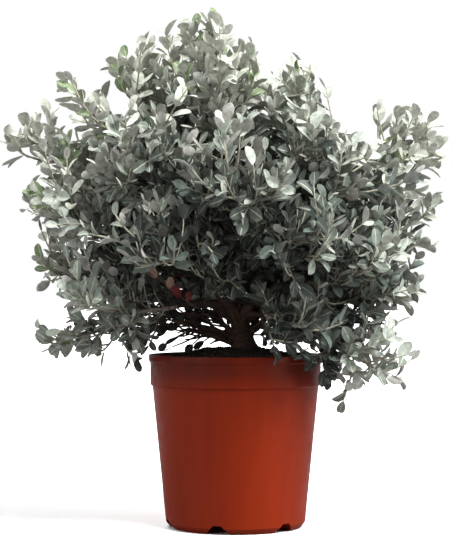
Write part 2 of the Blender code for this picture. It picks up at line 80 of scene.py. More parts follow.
# Studio: where each light stands, how wide it looks in degrees, and its strength
LIGHTS = (
    ("key", (0.58, -0.62, 1.20), 24.0, 5.85),
    ("edge", (1.0, -0.25, 0.16), 40.0, 2.6),
    ("fill", (-1.0, -0.6, 0.5), 50.0, 1.35),
    ("back", (-0.3, 0.8, 0.9), 30.0, 2.8),
)
SOFT_LIGHT = 0.13       # light from the surround on matt surfaces
GLOSS_LIGHTS = (0.03, 0.60)     # what glossy surfaces mirror from in front, and from behind
GLOSS_TURN = (-0.5, 0.6)        # between which the surround changes from one to the other
FLOOR_SEEN = 0.97       # paleness of the floor to the eye, and for the light that it throws
FLOOR_BOUNCE = 0.24
FLOOR_REACH = 60.0

# Nursery pot
POT_HEIGHT = 0.260
POT_SEGMENTS = 192
WALL = 0.0020
FOOT_RADIUS = 0.0990
CORNER_HEIGHT = 0.0080
CORNER_RADIUS = 0.1055
WALL_TOP_RADIUS = 0.1260
BAND_HEIGHT = 0.0455
BAND_RADIUS = 0.1290
MOUTH_RADIUS = 0.1305
LIP_RADIUS = 0.1318
LIP_HEIGHT = 0.0095
LIP_LEDGE = 0.0020      # step under the lip
STEP_HEIGHT = 0.0020
CHANNELS = 6
CHANNEL_FIRST = -105.1
CHANNEL_START = 0.0580
CHANNEL_FOOT = 0.0370
CHANNEL_ROOF = 0.0130
CHANNEL_HEIGHT = 0.0130
DRAIN_RADIUS = 0.0055
DRAIN_REACH = 0.0780
DRAIN_SIDES = 24
CHANNEL_SUNK = 0.004    # how far the cutting tools reach below the foot, past a surface, and up
CUT_PAST = 0.01
DRAIN_CUT = 0.03
MOUTH_PLUG = 0.001      # depth of the top face that the hollow then cuts away
INNER_STEP = 0.001      # how much higher the step of the wall is on the inside
SHARP_EDGE = 24.0       # degrees from which an edge of the pot is sharp
POT_FILLET = 0.0011     # rounding of the pot's turned edges
RIM_PAINTED_SHADE = (0.206, 0.236)      # heights between which painted shade darkens the wall towards its rim

# Root ball
CLEAR = 0.0003
SOIL_FLOOR = 0.0156
SOIL_EDGE = 0.2490
SOIL_TOP = 0.2680
SOIL_PAD = 0.0480
SOIL_STEP = (0.001, 0.004)      # heights at which it widens, over the wall's step
SOIL_SHOULDER = 0.004   # height and width of the bevel round its top, and its gap to the pot there
SOIL_BEVEL = 0.0050
SOIL_SLACK = 0.0006
SOIL_ROUGH_FROM = 0.001         # the top is rough from this far below its edge
SOIL_SOFT_EDGE = 0.006          # over which the roughness grows inwards
SOIL_SLOPE = 0.8        # below 1 the surface rises fastest at its edge
SOIL_ROUGHNESS = 0.0022
SOIL_CLODS = 55.0       # clods per metre
SOIL_SEGMENTS, SOIL_RINGS = 144, 44
CRUMBS = 50000.0        # crumbs per square metre of open soil
CRUMB_RADIUS = 0.0029
CRUMB_SIZES = (0.30, 0.30, 0.22), (1.0, 0.85, 0.65)     # smallest and largest, against that
CRUMB_TURNS = (0.0, 0.0, 0.0), (3.1, 3.1, 3.1)
CRUMB_SEEDS = (5, 2, 3)         # for their places, sizes and turns

# Trunk and limbs
TRUNK_FOOT = Vector((0.014, 0.0, SOIL_TOP + CLEAR))
TRUNK_TOP = Vector((0.002, 0.004, 0.322))
TRUNK_LEAN = -0.004     # where the trunk heads from its foot: across, and how far up
TRUNK_LEAD = 0.030
TRUNK_RADII = (0.0185, 0.0125)
TRUNK_SIDES, MAIN_SIDES, SIDE_SIDES = 48, 20, 14
TRUNK_SUNK = 0.0060     # how far the bark goes down into the soil
FLARE = 0.0070
FLARE_HEIGHT = 0.0160
BUTTRESSES = 5
BUTTRESS_LOBE = 0.4     # how much of the flare comes and goes from buttress to buttress
MAIN_RADII = (0.0088, 0.0052)
SIDE_RADII = (0.0046, 0.0029)
LIMB_RINGS = 5
TRUNK_FINE, LIMB_FINE, GRAIN_FINE = 5, 6, 8     # steps between these rings, for bark and its grain
BOUGH_BEND = 0.45       # share of a main bough at which it bends, and how far it sags there
BOUGH_SAG = 0.0060
SIDE_BEND = 0.40        # the same for a side bough, and how far it first goes on as its carrier does
SIDE_LEAD = 0.10
COLLAR = 0.35           # how much thicker a limb is where it springs from another
COLLAR_LENGTH = 0.0120
BARK_GRID = 0.00140     # fineness of the one skin that covers trunk and limbs
BARK_EASE = 4           # times that it is smoothed
BARK_RELIEF = (0.00035, 0.0011)     # depth of the furrows on a twig-thick and a trunk-thick limb
BARK_STRETCH = 7.0      # how much longer than wide the furrows are
BARK_FURROWS = 260.0    # furrows per metre, round a limb
BARK_KNOTS = 90.0       # knots per metre, and their depth against the furrows'
KNOT_DEPTH = 0.6

# Shoots from the foot of the trunk: where they bend and how far they rise there, then for
# each the height of its foot up the trunk, its tip, and its thickness at both ends
BASAL_BEND, BASAL_RISE = 0.45, 0.006
BASAL_SHOOTS = (
    (0.010, Vector((-0.092, -0.022, 0.311)), (0.0068, 0.0036)),
    (0.004, Vector((-0.034, -0.012, 0.318)), (0.0052, 0.0034)),
    (0.001, Vector((-0.074, -0.030, 0.299)), (0.0062, 0.0032)),
    (0.012, Vector((0.056, -0.020, 0.324)), (0.0050, 0.0032)),
    (0.008, Vector((0.040, 0.030, 0.326)), (0.0050, 0.0030)),
)

# Stems and twigs, by the rule of the solids
STEM_RADII = (0.0031, 0.0020)
TWIG_RADII = (0.0021, 0.0015)
STEM_FOOT = 0.0040
STEM_LEAD = 0.42
STEM_STEPS = 6
STEM_TAPER = 0.022      # over which a stem narrows from its limb's thickness to its own
NODE_STEP = 0.0240
FIRST_NODE = 0.0150
TWIG_LENGTHS = (0.030, 0.125)
TWIG_FILL = (0.62, 0.86)
TWIG_SHRINK = 0.35
TWIG_ANGLES = (62.0, 34.0)
TWIG_ANGLE_CHANCE = 7.0
TWIG_ROLL_CHANCE = 16.0
MASS_ROLL = 35          # degrees by which the twigs of each mass are turned against the last one's
TWIG_SEEDS = (1009, 17)         # factors that make a twig's seed of its mass and its node
TWIG_BEND, TWIG_LIFT = 0.55, 0.16
TWIG_TRIES = (1.0, 0.8, 0.65, 0.5)
TIP_LEAF = 0.060
SPACE_MARGIN = 0.0030
LIMB_MARGIN = 0.0022
POT_MARGIN = 0.0040
CANOPY_HEART = Vector((0, 0, 0.40))

# Sprigs: the finest twigs, opposite on stems, twigs and longer sprigs, which carry the leaves
SPRIG_RADII = (0.00160, 0.00105)
SHOOT_BEND, SHOOT_STEPS = 0.50, 4   # where a shoot's curve bends, and its number of steps
SPRIG_STEP = 0.0200
SPRIG_FIRST = 0.0140
SPRIG_LENGTHS = (0.040, 0.078)
SPRIG_SHRINK = 0.30
SPRIG_ANGLES = (56.0, 36.0)
SPRIG_CHANCE = 13.0
SPRIG_REACH = 0.80      # how much a sprig goes on as it set out, and how much it turns up
SPRIG_LIFT = 0.72
INNER_LIFT = 0.10       # the same for sprigs on the limbs
LIFT_HEIGHTS = (0.235, 0.375)   # sprigs turn up little below these heights, and fully above
LEAST_LIFT = 0.12
SPRIG_TRIES = (1.0, 0.78, 0.56)
SPRIG_ROLLS = (0.0, 38.0, -38.0)    # turned aside by these where there is no room
FORK_FROM = 0.048       # a longer sprig forks once more
FORK_SHARE = 0.40
FORK_SCALE = 0.55
TIP_SHOOT = 0.038       # shoot past a stem's last node
TWIG_TIP_SHOOT = 0.026
TIP_LIFT = 0.45
TIP_FIRST = 0.4         # from its foot to its first leaves, as a share of the step between pairs
AIRY_FROM, AIRY_TO = 0.20, 0.36     # distances from the canopy's heart between which it thins out
AIRY_SHARE = 0.82       # share of sprigs that the outermost part goes without
WAND_CHANCE = 0.50      # share of sprigs there that are long, slender, upright shoots
WAND_LENGTHS = (0.075, 0.115)
WAND_LIFT = 0.70
WAND_OVERHANG = 0.040
WAND_LEAF_STEP = 0.0200
WAND_LEAVES = 4         # a long shoot with fewer leaves than this is left out
FAN_ROLLS = (30.0, 150.0, 270.0)    # degrees round a stem's tip at which long shoots leave it
LIMB_SPRIG_STEP = 0.0170
LIMB_SPRIG_FIRST = 0.0160
LIMB_SPRIG_SCALE = 0.85
LIMB_SPACE = 0.060      # how far from a limb its own sprigs reach
OPEN_SIDE = (-0.108, 0.040, 0.340)  # left, right and top of the opening in front of the trunk
OPEN_BACK = 0.045       # how far back it is free of the limbs' own sprigs, and up to which height
OPEN_LOW = 0.300
OPEN_FACING = -0.2      # a limb's sprigs that head further to the front than this are left out there
# Hollow in front of the old twig: left, right, front, underside and top
OLD_HOLLOW = (-0.132, -0.046, -0.075, 0.312, 0.392)
# Sky between the shoots of the outline: across and up as seen from the front, and its reach
SKY_GAPS = (
    (-0.258, 0.718, 0.032), (-0.206, 0.738, 0.022), (-0.222, 0.676, 0.020), (-0.178, 0.646, 0.024),
    (-0.224, 0.612, 0.014), (-0.112, 0.784, 0.028), (0.118, 0.738, 0.026), (0.030, 0.776, 0.022),
    (0.060, 0.736, 0.026), (0.060, 0.696, 0.014), (0.152, 0.690, 0.036), (0.170, 0.634, 0.040),
    (0.222, 0.600, 0.020), (0.256, 0.688, 0.036), (-0.279, 0.324, 0.026), (-0.222, 0.330, 0.016),
    (-0.002, 0.778, 0.020), (0.212, 0.660, 0.020), (-0.346, 0.560, 0.014), (-0.326, 0.456, 0.014),
    (-0.346, 0.436, 0.018), (0.200, 0.186, 0.030),
)
OVERHANGS = (-0.026, 0.026)     # how far sprigs stop short of, or pass, a mass's half width
LEAF_OVERHANG = 0.012   # how much further their leaves reach
SPRIG_OVERLAP, LEAF_OVERLAP = 0.008, 0.020      # how far they mingle with the next mass's
FILL_ROLLS = (20.0, 110.0, 200.0, 290.0)
FILL_ROOM = 0.022       # a place further than this from any leaf is filled with another sprig
FILL_WITHIN = 0.285     # and nearer than this to the canopy's heart
FILL_LOW = (-0.070, 0.400)      # but not left of this and below
FILL_SCALE = 0.80
FILL_LIFTS = (-0.40, 0.75)
HANG_FROM = 0.375       # sprigs turn down only where they spring from above this height
FILL_FROM = 0.60        # where on a sprig such a one springs
BOX_MARGIN = 0.0035
NODE_SWELL = 1.35       # thickness of a twig at its nodes, and how far the swelling reaches
SWELL_REACH = 0.004
BUD = 0.0030            # bud past the last pair of leaves, and how thick its tip is
BUD_TIP = 0.25
MASS_SEEDS = (331, 7)   # factor and offset that make a mass's seed of its number
INNER_SEED = 97
FORM_SEED = 11

# Leaves: real length and width of one of size 1, and the sizes that there are
LEAF_LENGTH = 0.0345
LEAF_WIDTH = 0.0190
LEAF_ROWS = 7
LEAF_SIZES = (0.66, 1.00)
SIZE_WITHIN, SIZE_OUTSIDE = 0.84, 1.12      # leaves within, and outermost, against these
LEAF_BREADTHS = (0.84, 1.12)
BREADTH_WITHIN, BREADTH_OUTSIDE = 0.86, 1.06
TIP_SIZES = (0.48, 0.76)
LEAF_STEP = 0.0160      # between the pairs of a sprig
LEAF_FIRST = 0.0165
LEAF_SPREAD = (58.0, 38.0)  # degrees between a leaf and its sprig, at its foot and near its tip
TIP_SPREAD = 22.0
SPREAD_CHANCE = 11.0
LEAF_ROLL_CHANCE = 18.0
LEAF_TWIST_CHANCE = 0.50
LEAF_TO_LIGHT = 0.22    # how far a blade turns its upper side out of the canopy and up
LIGHT_FROM_OUT, LIGHT_FROM_UP = 0.6, 0.8
LEAF_ROOM = 0.0092      # least distance between the middles of two leaves
LEAF_MIDDLE = 0.6       # where that middle is, as a share of the leaf's length
RIB_REACH = 0.0010      # half width of the pale midrib
# Share of the leaf's length, and width there as a share of the widest
LEAF_OUTLINE = (
    (0.0, 0.075), (0.075, 0.085), (0.14, 0.36), (0.28, 0.74), (0.50, 0.98),
    (0.66, 1.0), (0.82, 0.84), (0.93, 0.54), (0.985, 0.22), (1.0, 0.04),
)
# Corners of its cross-section in half widths, the raised midrib last
LEAF_SECTION = ((-1, 0, 0), (-0.09, -0.03, 0), (0.09, -0.03, 0), (1, 0, 0), (0, 0.055, 0))
LEAF_EDGE = 70.0        # degrees from which a fold of the blade is its sharp edge
# How far the sides fold up and the blade arches, as shares of its width and its length
LEAF_FORMS = ((0.30, 0.04), (0.48, -0.05), (0.16, -0.10), (0.38, 0.11))
LEAF_MOTTLE = (0.68, 1.24)      # shade of a leaf's darkest and lightest patches

Limb = namedtuple("Limb", "name station bearing reach height")
Arm = namedtuple("Arm", "name carrier station root bearing reach height half_width")
Shoot = namedtuple("Shoot", "path radii nodes")
Leaf = namedtuple("Leaf", "place reach face length breadth")

# Main boughs: station up the trunk, bearing in degrees from +X towards +Y, then distance
# from the pot's axis and height of the tip
BOUGHS = (
    Limb("bough_left", 0.72, 180, 0.118, 0.414),
    Limb("bough_right", 0.72, 2, 0.126, 0.406),
    Limb("bough_front_left", 0.72, 232, 0.090, 0.425),
    Limb("bough_front_right", 0.72, 312, 0.092, 0.418),
    Limb("bough_back", 0.72, 110, 0.090, 0.425),
    Limb("bough_leader", 0.80, 200, 0.024, 0.505),
)

# Masses of foliage, each with the side bough that carries it: where that leaves its
# carrier and where it ends, as bearing, reach and height, then where the furthest leaf
# ends and how far the mass spreads from its own stem
ARMS = (
    Arm("left_skirt", "bough_left", 0.12, (190, 0.112, 0.316), 184, 0.304, 0.272, 0.060),
    Arm("left_low", "bough_left", 0.40, (168, 0.112, 0.356), 171, 0.322, 0.388, 0.078),
    Arm("left_mid", "bough_left", 0.70, (194, 0.112, 0.405), 187, 0.326, 0.490, 0.080),
    Arm("left_high", "bough_left", 1, None, 180, 0.340, 0.612, 0.086),
    Arm("left_shoulder", "bough_leader", 0.42, (182, 0.076, 0.480), 183, 0.280, 0.690, 0.086),
    Arm("top_left", "bough_leader", 0.66, (160, 0.050, 0.505), 170, 0.186, 0.732, 0.084),
    Arm("top", "bough_leader", 1, None, 205, 0.048, 0.791, 0.094),
    Arm("top_right", "bough_leader", 0.52, (10, 0.040, 0.480), 8, 0.122, 0.722, 0.096),
    Arm("right_high", "bough_right", 1, None, 358, 0.312, 0.622, 0.086),
    Arm("right_mid", "bough_right", 0.66, (12, 0.112, 0.395), 5, 0.324, 0.484, 0.080),
    Arm("right_low", "bough_right", 0.32, (352, 0.112, 0.342), 354, 0.290, 0.350, 0.074),
    Arm("right_skirt", "bough_front_right", 0.14, (330, 0.122, 0.302), 336, 0.262, 0.222, 0.056),
    Arm("front_skirt", "bough_front_right", 0.34, (294, 0.104, 0.326), 300, 0.240, 0.292, 0.064),
    Arm("front_left_low", "bough_front_left", 0.26, (216, 0.112, 0.332), 216, 0.300, 0.330, 0.076),
    Arm("front_right_low", "bough_front_right", 0.60, (328, 0.118, 0.370), 322, 0.296, 0.400, 0.078),
    Arm("front_left_mid", "bough_front_left", 0.62, (250, 0.096, 0.384), 240, 0.290, 0.430, 0.084),
    Arm("front_mid", "bough_front_left", 0.84, (272, 0.084, 0.430), 270, 0.284, 0.505, 0.086),
    Arm("front_right_mid", "bough_front_right", 0.84, (296, 0.110, 0.410), 298, 0.292, 0.440, 0.086),
    Arm("front_left_high", "bough_front_left", 1, None, 226, 0.262, 0.592, 0.090),
    Arm("front_right_high", "bough_front_right", 1, None, 312, 0.262, 0.575, 0.090),
    Arm("back_left_low", "bough_back", 0.38, (140, 0.110, 0.350), 140, 0.295, 0.362, 0.086),
    Arm("back_right_low", "bough_back", 0.30, (44, 0.108, 0.345), 46, 0.294, 0.360, 0.086),
    Arm("back_left_high", "bough_back", 1, None, 130, 0.262, 0.602, 0.092),
    Arm("back_mid", "bough_back", 0.66, (88, 0.112, 0.400), 92, 0.298, 0.462, 0.090),
    Arm("back_right_high", "bough_back", 0.88, (58, 0.096, 0.455), 54, 0.258, 0.600, 0.092),
)

# Leaf colours, dealt out by sprig: upper side, then the names of under side and midrib
TINTS = {
    "new": ((0.560, 0.590, 0.505), "pale_under", "pale_rib"),
    "budding": ((0.185, 0.255, 0.125), "pale_under", "pale_rib"),
    "silver": ((0.405, 0.445, 0.390), "pale_under", "pale_rib"),
    "sage": ((0.203, 0.235, 0.195), "warm_under", "pale_rib"),
    "grey_sage": ((0.108, 0.130, 0.107), "warm_under", "pale_rib"),
    "blue_sage": ((0.100, 0.130, 0.110), "cool_under", "dull_rib"),
    # The deep tints are partly older, darker leaves and mostly painted shade within the canopy
    "deep": ((0.027, 0.034, 0.025), "dull_under", "dull_rib"),
    "deep_blue": ((0.024, 0.033, 0.027), "dull_under", "dull_rib"),
    "fresh": ((0.085, 0.175, 0.042), "pale_under", "pale_rib"),
    "blush": ((0.38, 0.22, 0.16), "blush_under", "pale_rib"),
    "crimson": ((0.23, 0.018, 0.024), "crimson_under", "dull_rib"),
}
UNDER_SIDES = {
    "pale_under": (0.54, 0.54, 0.49),
    "warm_under": (0.40, 0.390, 0.355),
    "cool_under": (0.32, 0.335, 0.305),
    # under sides of the deep tints: partly dull old leaves, partly painted shade
    "dull_under": (0.070, 0.074, 0.061),
    "blush_under": (0.34, 0.18, 0.14),
    "crimson_under": (0.27, 0.07, 0.06),
}
RIBS = {"pale_rib": (0.48, 0.50, 0.41), "dull_rib": (0.13, 0.145, 0.11)}
# Places, across and up as seen from the front, where a spray is fresh green
FRESH_SPOTS = ((0.080, 0.680), (-0.233, 0.590), (-0.043, 0.737))
FRESH_REACH = 0.009
# Light that a spray lives in, from which its colour comes, partly as the leaves' own age and partly as
# painted light and shade: shares of how far out, how near a shoot's tip and how high it is, and chance
LIGHT_SHARES = (0.75, 0.15, 0.32)
LIGHT_CHANCE = 0.24
LIGHT_HEIGHTS = (0.28, 0.45)    # height that counts as low, and how far up from it counts as high
LIT_SIDE = 0.14         # more light towards the right, for each metre, painted as paler tints
FRONT_SHARE = 0.57      # how much a distance to the front or back counts as further out
BLUISH_CHANCE = 0.22    # at the axis, and more by one for each metre to the right
BUDDING_CHANCE = 0.22
BUDDING_FROM = 0.62     # share of the way out from which there are any
DIM, BRIGHT = 0.16, 0.36    # distances from the canopy's heart that count as within and as outermost
# Tints by that light, darkest first: the darker steps stand partly for painted shade within the canopy, the
# paler ones partly for painted light on its outside
TINT_STEPS = (("deep", 0.22), ("grey_sage", 0.39), ("sage", 0.60), ("silver", 0.84), ("new", 9.0))
SHADE_HEART = (-0.015, 0.325)   # across and up: the shaded hollow round the trunk, painted as darker tints
SHADE_REACH = 0.125
SHADE = 0.45            # how much less light there is in the midst of it, painted as darker tints
# Dark tints for the limbs' own sprigs round the trunk: painted shade
INNER_TINTS = ("deep", "deep", "deep_blue", "grey_sage")

# Speckles of each finish: how many to a metre, and how strong
FELT, MOTTLE = (420.0, 1.6), (130.0, 2.0)
WORN_DOWN = (150.0, 2.2)
STRINGS, RED_PATCHES = (230.0, 2.0), (38.0, 2.4)
GRAINS = (210.0, 2.6)
# The last of the pot's three lays the uneven patches of painted shade under its rim
FLOW_MARKS, SCUFFS, RIM_SHADE_PATCHES = (22.0, 1.6), (60.0, 2.4), (9.0, 2.0)
FINER = 4.3             # how much finer the second pattern of each is
# Colours of bark, soil and plastic: down or dust and what is under it, or stops from dark to light
YOUNG_BARK = (0.33, 0.29, 0.24), (0.14, 0.110, 0.085)
DOWNY_SHOOT = (0.46, 0.45, 0.35), (0.28, 0.265, 0.20)
# Old bark, darkened further as painted shade for the twigs and sprigs in the hollow round the trunk
AGED_AND_SHADED_TWIG = (0.085, 0.062, 0.048), (0.030, 0.021, 0.016)
DARK_STRINGS = (0.20, (0.020, 0.013, 0.010)), (0.80, (0.085, 0.055, 0.040))
RED_STRINGS = (0.20, (0.040, 0.016, 0.010)), (0.80, (0.150, 0.070, 0.042))
SOIL_COLOURS = (
    (0.30, (0.008, 0.006, 0.005)), (0.62, (0.024, 0.017, 0.012)), (0.88, (0.075, 0.045, 0.026)),
)
POT_COLOURS = (
    (0.0, (0.055, 0.0080, 0.0030)), (0.58, (0.185, 0.0145, 0.0022)), (0.93, (0.240, 0.0205, 0.0034)),
)
FLOW_STRETCH = (1.0, 1.0, 0.10)     # flow marks run up the wall
RIM_SHADE_DEPTH = 0.62      # how far the painted shade under the rim pulls the plastic towards its darkest colour
RIM_SHADE_LEAST = 0.45      # share of that where the painted shade is faintest

# A bare twig with withered leaves, low on the left: where it leaves its side bough, and its tip
OLD_TWIG_CARRIER, OLD_TWIG_STATION = "bough_front_left_low", 0.55
OLD_TWIG_LEAD = Vector((-0.040, -0.120, 0.312))
OLD_TWIG_TIP = Vector((-0.124, -0.118, 0.386))
OLD_LEAVES = ((0.46, "crimson"), (0.56, "crimson"), (0.68, "blush"), (0.88, "blush"), (1.0, "blush"))
OLD_TWIG_STEPS = 8
OLD_LEAF_SIZE = (0.78, 0.80)
OLD_LEAF_SIDES = (Vector((0.5, -0.7, 0.2)), Vector((-0.3, -0.7, 0.2)))
OLD_LEAF_SPREAD = 0.8
OLD_LEAF_FACING = Vector((0.2, -1.0, 0.4))

# Thin twigs along the lowest shoots by the opening, most of them bare: spacing, lengths,
# thickness, how far from the shoot's foot they start, and how they fan out, droop and bow
BARE_STEP = 0.0050
BARE_LENGTHS = (0.018, 0.064)
BARE_RADII = (0.0017, 0.0011)
BARE_FROM = 0.016
BARE_ASIDE, BARE_DROOP, BARE_BOW = (-1.0, 1.0), (-1.0, 0.5), (-0.006, 0.010)
BARE_LEAF_CHANCE = 0.42     # share of them that end in one leaf
BARE_LEAF_SIZES = (0.50, 0.80)


class Nodes:
    """A node tree in the making. A socket is fed with a value or with another node's output."""

    def __init__(self, tree):
        self.tree = tree

    def feed(self, node, values):
        for key, value in values.items():
            socket = node.inputs[key]
            if isinstance(value, bpy.types.NodeSocket):
                self.tree.links.new(value, socket)
            else:
                socket.default_value = value

    def add(self, kind, feed=None, **settings):
        node = self.tree.nodes.new(kind)
        for key, value in settings.items():
            setattr(node, key, value)
        self.feed(node, feed or {})
        return node

    def math(self, operation, first, second=0.0, third=0.0):
        feed = {0: first, 1: second, 2: third}
        return self.add("ShaderNodeMath", feed, operation=operation).outputs[0]

    def group(self, kind, tree, feed):
        return self.add(kind, feed, node_tree=tree).outputs


def new_group(name, kind, inputs, outputs):
    """A node group with named inputs (name, kind, value) and outputs (name, kind)."""
    tree = bpy.data.node_groups.new(name, kind)
    for label, socket_kind, value in inputs:
        kind_name = "NodeSocket" + socket_kind
        socket = tree.interface.new_socket(label, in_out="INPUT", socket_type=kind_name)
        if value is not None:
            socket.default_value = value
    for label, socket_kind in outputs:
        tree.interface.new_socket(label, in_out="OUTPUT", socket_type="NodeSocket" + socket_kind)
    nodes = Nodes(tree)
    given = nodes.add("NodeGroupInput").outputs
    return nodes, given, nodes.add("NodeGroupOutput").inputs


def add_object(name, data):
    thing = bpy.data.objects.new(name, data)
    bpy.context.scene.collection.objects.link(thing)
    return thing


def new_mesh(name, points, edges=(), faces=()):
    mesh = bpy.data.meshes.new(name)
    mesh.from_pydata([tuple(point) for point in points], edges, faces)
    return mesh


def settled(thing):
    """Fixes a piece's modifiers into a plain mesh."""
    graph = bpy.context.evaluated_depsgraph_get()
    mesh = bpy.data.meshes.new_from_object(thing.evaluated_get(graph))
    thing.modifiers.clear()
    thing.data = mesh
    if len(mesh.materials) > 1 and mesh.materials[0] is None:
        mesh.materials.pop(index=0)
    return thing


def grown(name, source, tree, **values):
    """The piece that a Geometry Nodes tree makes of a source mesh."""
    thing = add_object(name, source)
    step = thing.modifiers.new("grow", "NODES")
    step.node_group = tree
    for item in tree.interface.items_tree:
        label = item.name.replace(" ", "_").lower()
        if item.in_out == "INPUT" and label in values:
            step[item.identifier] = values[label]
    return settled(thing)


def dress(thing, nodes=()):
    """A finished piece rides on the plant, and stands for the solids that it covers."""
    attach(thing, "root")
    if nodes:
        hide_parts(*nodes)


def polar(bearing, reach, height):
    turn = math.radians(bearing)
    return Vector((reach * math.cos(turn), reach * math.sin(turn), height))


def bend(start, lead, end, steps):
    """Points of a quadratic curve that leaves start towards lead and ends at end."""
    shares = [k / steps for k in range(steps + 1)]
    return [start * (1 - t) ** 2 + lead * 2 * t * (1 - t) + end * t * t for t in shares]


def mix(first, last, share):
    return first + (last - first) * share


def tangents(path):
    ends = zip([path[0]] + path[:-1], path[1:] + [path[-1]])
    return [(b - a).normalized() for a, b in ends]


def crosswise(direction):
    """A unit vector square to direction, level where it can be."""
    flat = direction.cross(UP)
    return flat.normalized() if flat.length > 1e-4 else Vector((1, 0, 0))


def outward(direction, roll):
    """The unit vector square to direction that is turned by roll round it."""
    across = crosswise(direction)
    return across * math.cos(roll) + direction.cross(across) * math.sin(roll)


def nearest_tree(points):
    """The points, known by their order, for finding the nearest one."""
    tree = KDTree(len(points))
    for number, point in enumerate(points):
        tree.insert(point, number)
    tree.balance()
    return tree


def runs(path):
    """How far along a path each of its points is."""
    return [0.0, *itertools.accumulate((b - a).length for a, b in zip(path, path[1:]))]


def path_length(path):
    return sum((b - a).length for a, b in zip(path, path[1:]))


def along_path(path, share):
    """Point and direction at a share of a path's length."""
    lengths = [(b - a).length for a, b in zip(path, path[1:])]
    left = share * sum(lengths)
    for a, b, length in zip(path, path[1:], lengths):
        if left <= length:
            return a.lerp(b, left / length), (b - a).normalized()
        left -= length
    return path[-1].copy(), (path[-1] - path[-2]).normalized()


def cut_off(path, place):
    """The path up to that one of its sixteenths that ends nearest to a place."""
    shares = [count / 16 for count in range(1, 17)]
    last = min(shares, key=lambda share: (along_path(path, share)[0] - place).length)
    steps = len(path) - 1
    return [along_path(path, last * step / steps)[0] for step in range(steps + 1)]


def smoothed(path, steps):
    """A path with each stretch drawn as a curve of several steps through its points."""
    ends = [path[0] * 2 - path[1], *path, path[-1] * 2 - path[-2]]
    points = [path[0]]
    for before, a, b, after in zip(ends, ends[1:], ends[2:], ends[3:]):
        for k in range(1, steps + 1):
            t = k / steps
            curve = a * 2 + (b - before) * t + (before * 2 - a * 5 + b * 4 - after) * t * t
            points.append((curve + (a * 3 - before - b * 3 + after) * t ** 3) / 2)
    return points


def trunk_path():
    lead = Vector((TRUNK_FOOT.x + TRUNK_LEAN, TRUNK_FOOT.y, TRUNK_FOOT.z + TRUNK_LEAD))
    return bend(TRUNK_FOOT, lead, TRUNK_TOP, LIMB_RINGS)


def main_path(limb):
    """A main bough springs from the trunk's head, so that the plant forks near the soil."""
    start, _ = along_path(trunk_path(), limb.station)
    tip = polar(limb.bearing, limb.reach, limb.height)
    lead = start.lerp(tip, BOUGH_BEND) - UP * BOUGH_SAG
    return bend(start, lead, tip, LIMB_RINGS)


def side_path(arm, carrier_path):
    start, forward = along_path(carrier_path, arm.station)
    tip = polar(*arm.root)
    lead = start.lerp(tip, SIDE_BEND) + forward * (tip - start).length * SIDE_LEAD
    return bend(start, lead, tip, LIMB_RINGS - 1)


def stem_path(arm, limb_path):
    """The stem of a mass goes on from its bough's tip and curves up to its furthest shoot."""
    forward = tangents(limb_path)[-1]
    start = limb_path[-1] + forward * CLEAR
    furthest = polar(arm.bearing, arm.reach, arm.height)
    tip = furthest.lerp(start, TIP_LEAF / (furthest - start).length)
    span = (tip - start).length
    foot = start + forward * STEM_FOOT
    return [start] + bend(foot, start + forward * span * STEM_LEAD, tip, STEM_STEPS)


def stem_nodes(stem):
    """Number, point, direction and share of each node on a mass's stem."""
    length = path_length(stem)
    for node in range(int((length - FIRST_NODE) / NODE_STEP)):
        share = (FIRST_NODE + node * NODE_STEP) / length
        yield node, *along_path(stem, share), share


def twig_path(seed, node, side, point, forward, share, room):
    """A twig of one node: one of an opposite pair, each pair square to the last."""
    rule = random.Random(seed * TWIG_SEEDS[0] + node * TWIG_SEEDS[1] + side)
    roll = 90 * (node // 2) + 180 * side + MASS_ROLL * (seed % 4)
    roll = math.radians(roll + rule.uniform(-TWIG_ROLL_CHANCE, TWIG_ROLL_CHANCE))
    out = outward(forward, roll)
    lean = TWIG_ANGLES[0] + (TWIG_ANGLES[1] - TWIG_ANGLES[0]) * share
    lean = math.radians(lean + rule.uniform(-TWIG_ANGLE_CHANCE, TWIG_ANGLE_CHANCE))
    heading = forward * math.cos(lean) + out * math.sin(lean)
    length = room * rule.uniform(*TWIG_FILL) * (1 - TWIG_SHRINK * share)
    length = max(TWIG_LENGTHS[0], min(TWIG_LENGTHS[1], length))
    end = point + heading * length + UP * length * TWIG_LIFT
    return bend(point, point + heading * length * TWIG_BEND, end, 2)


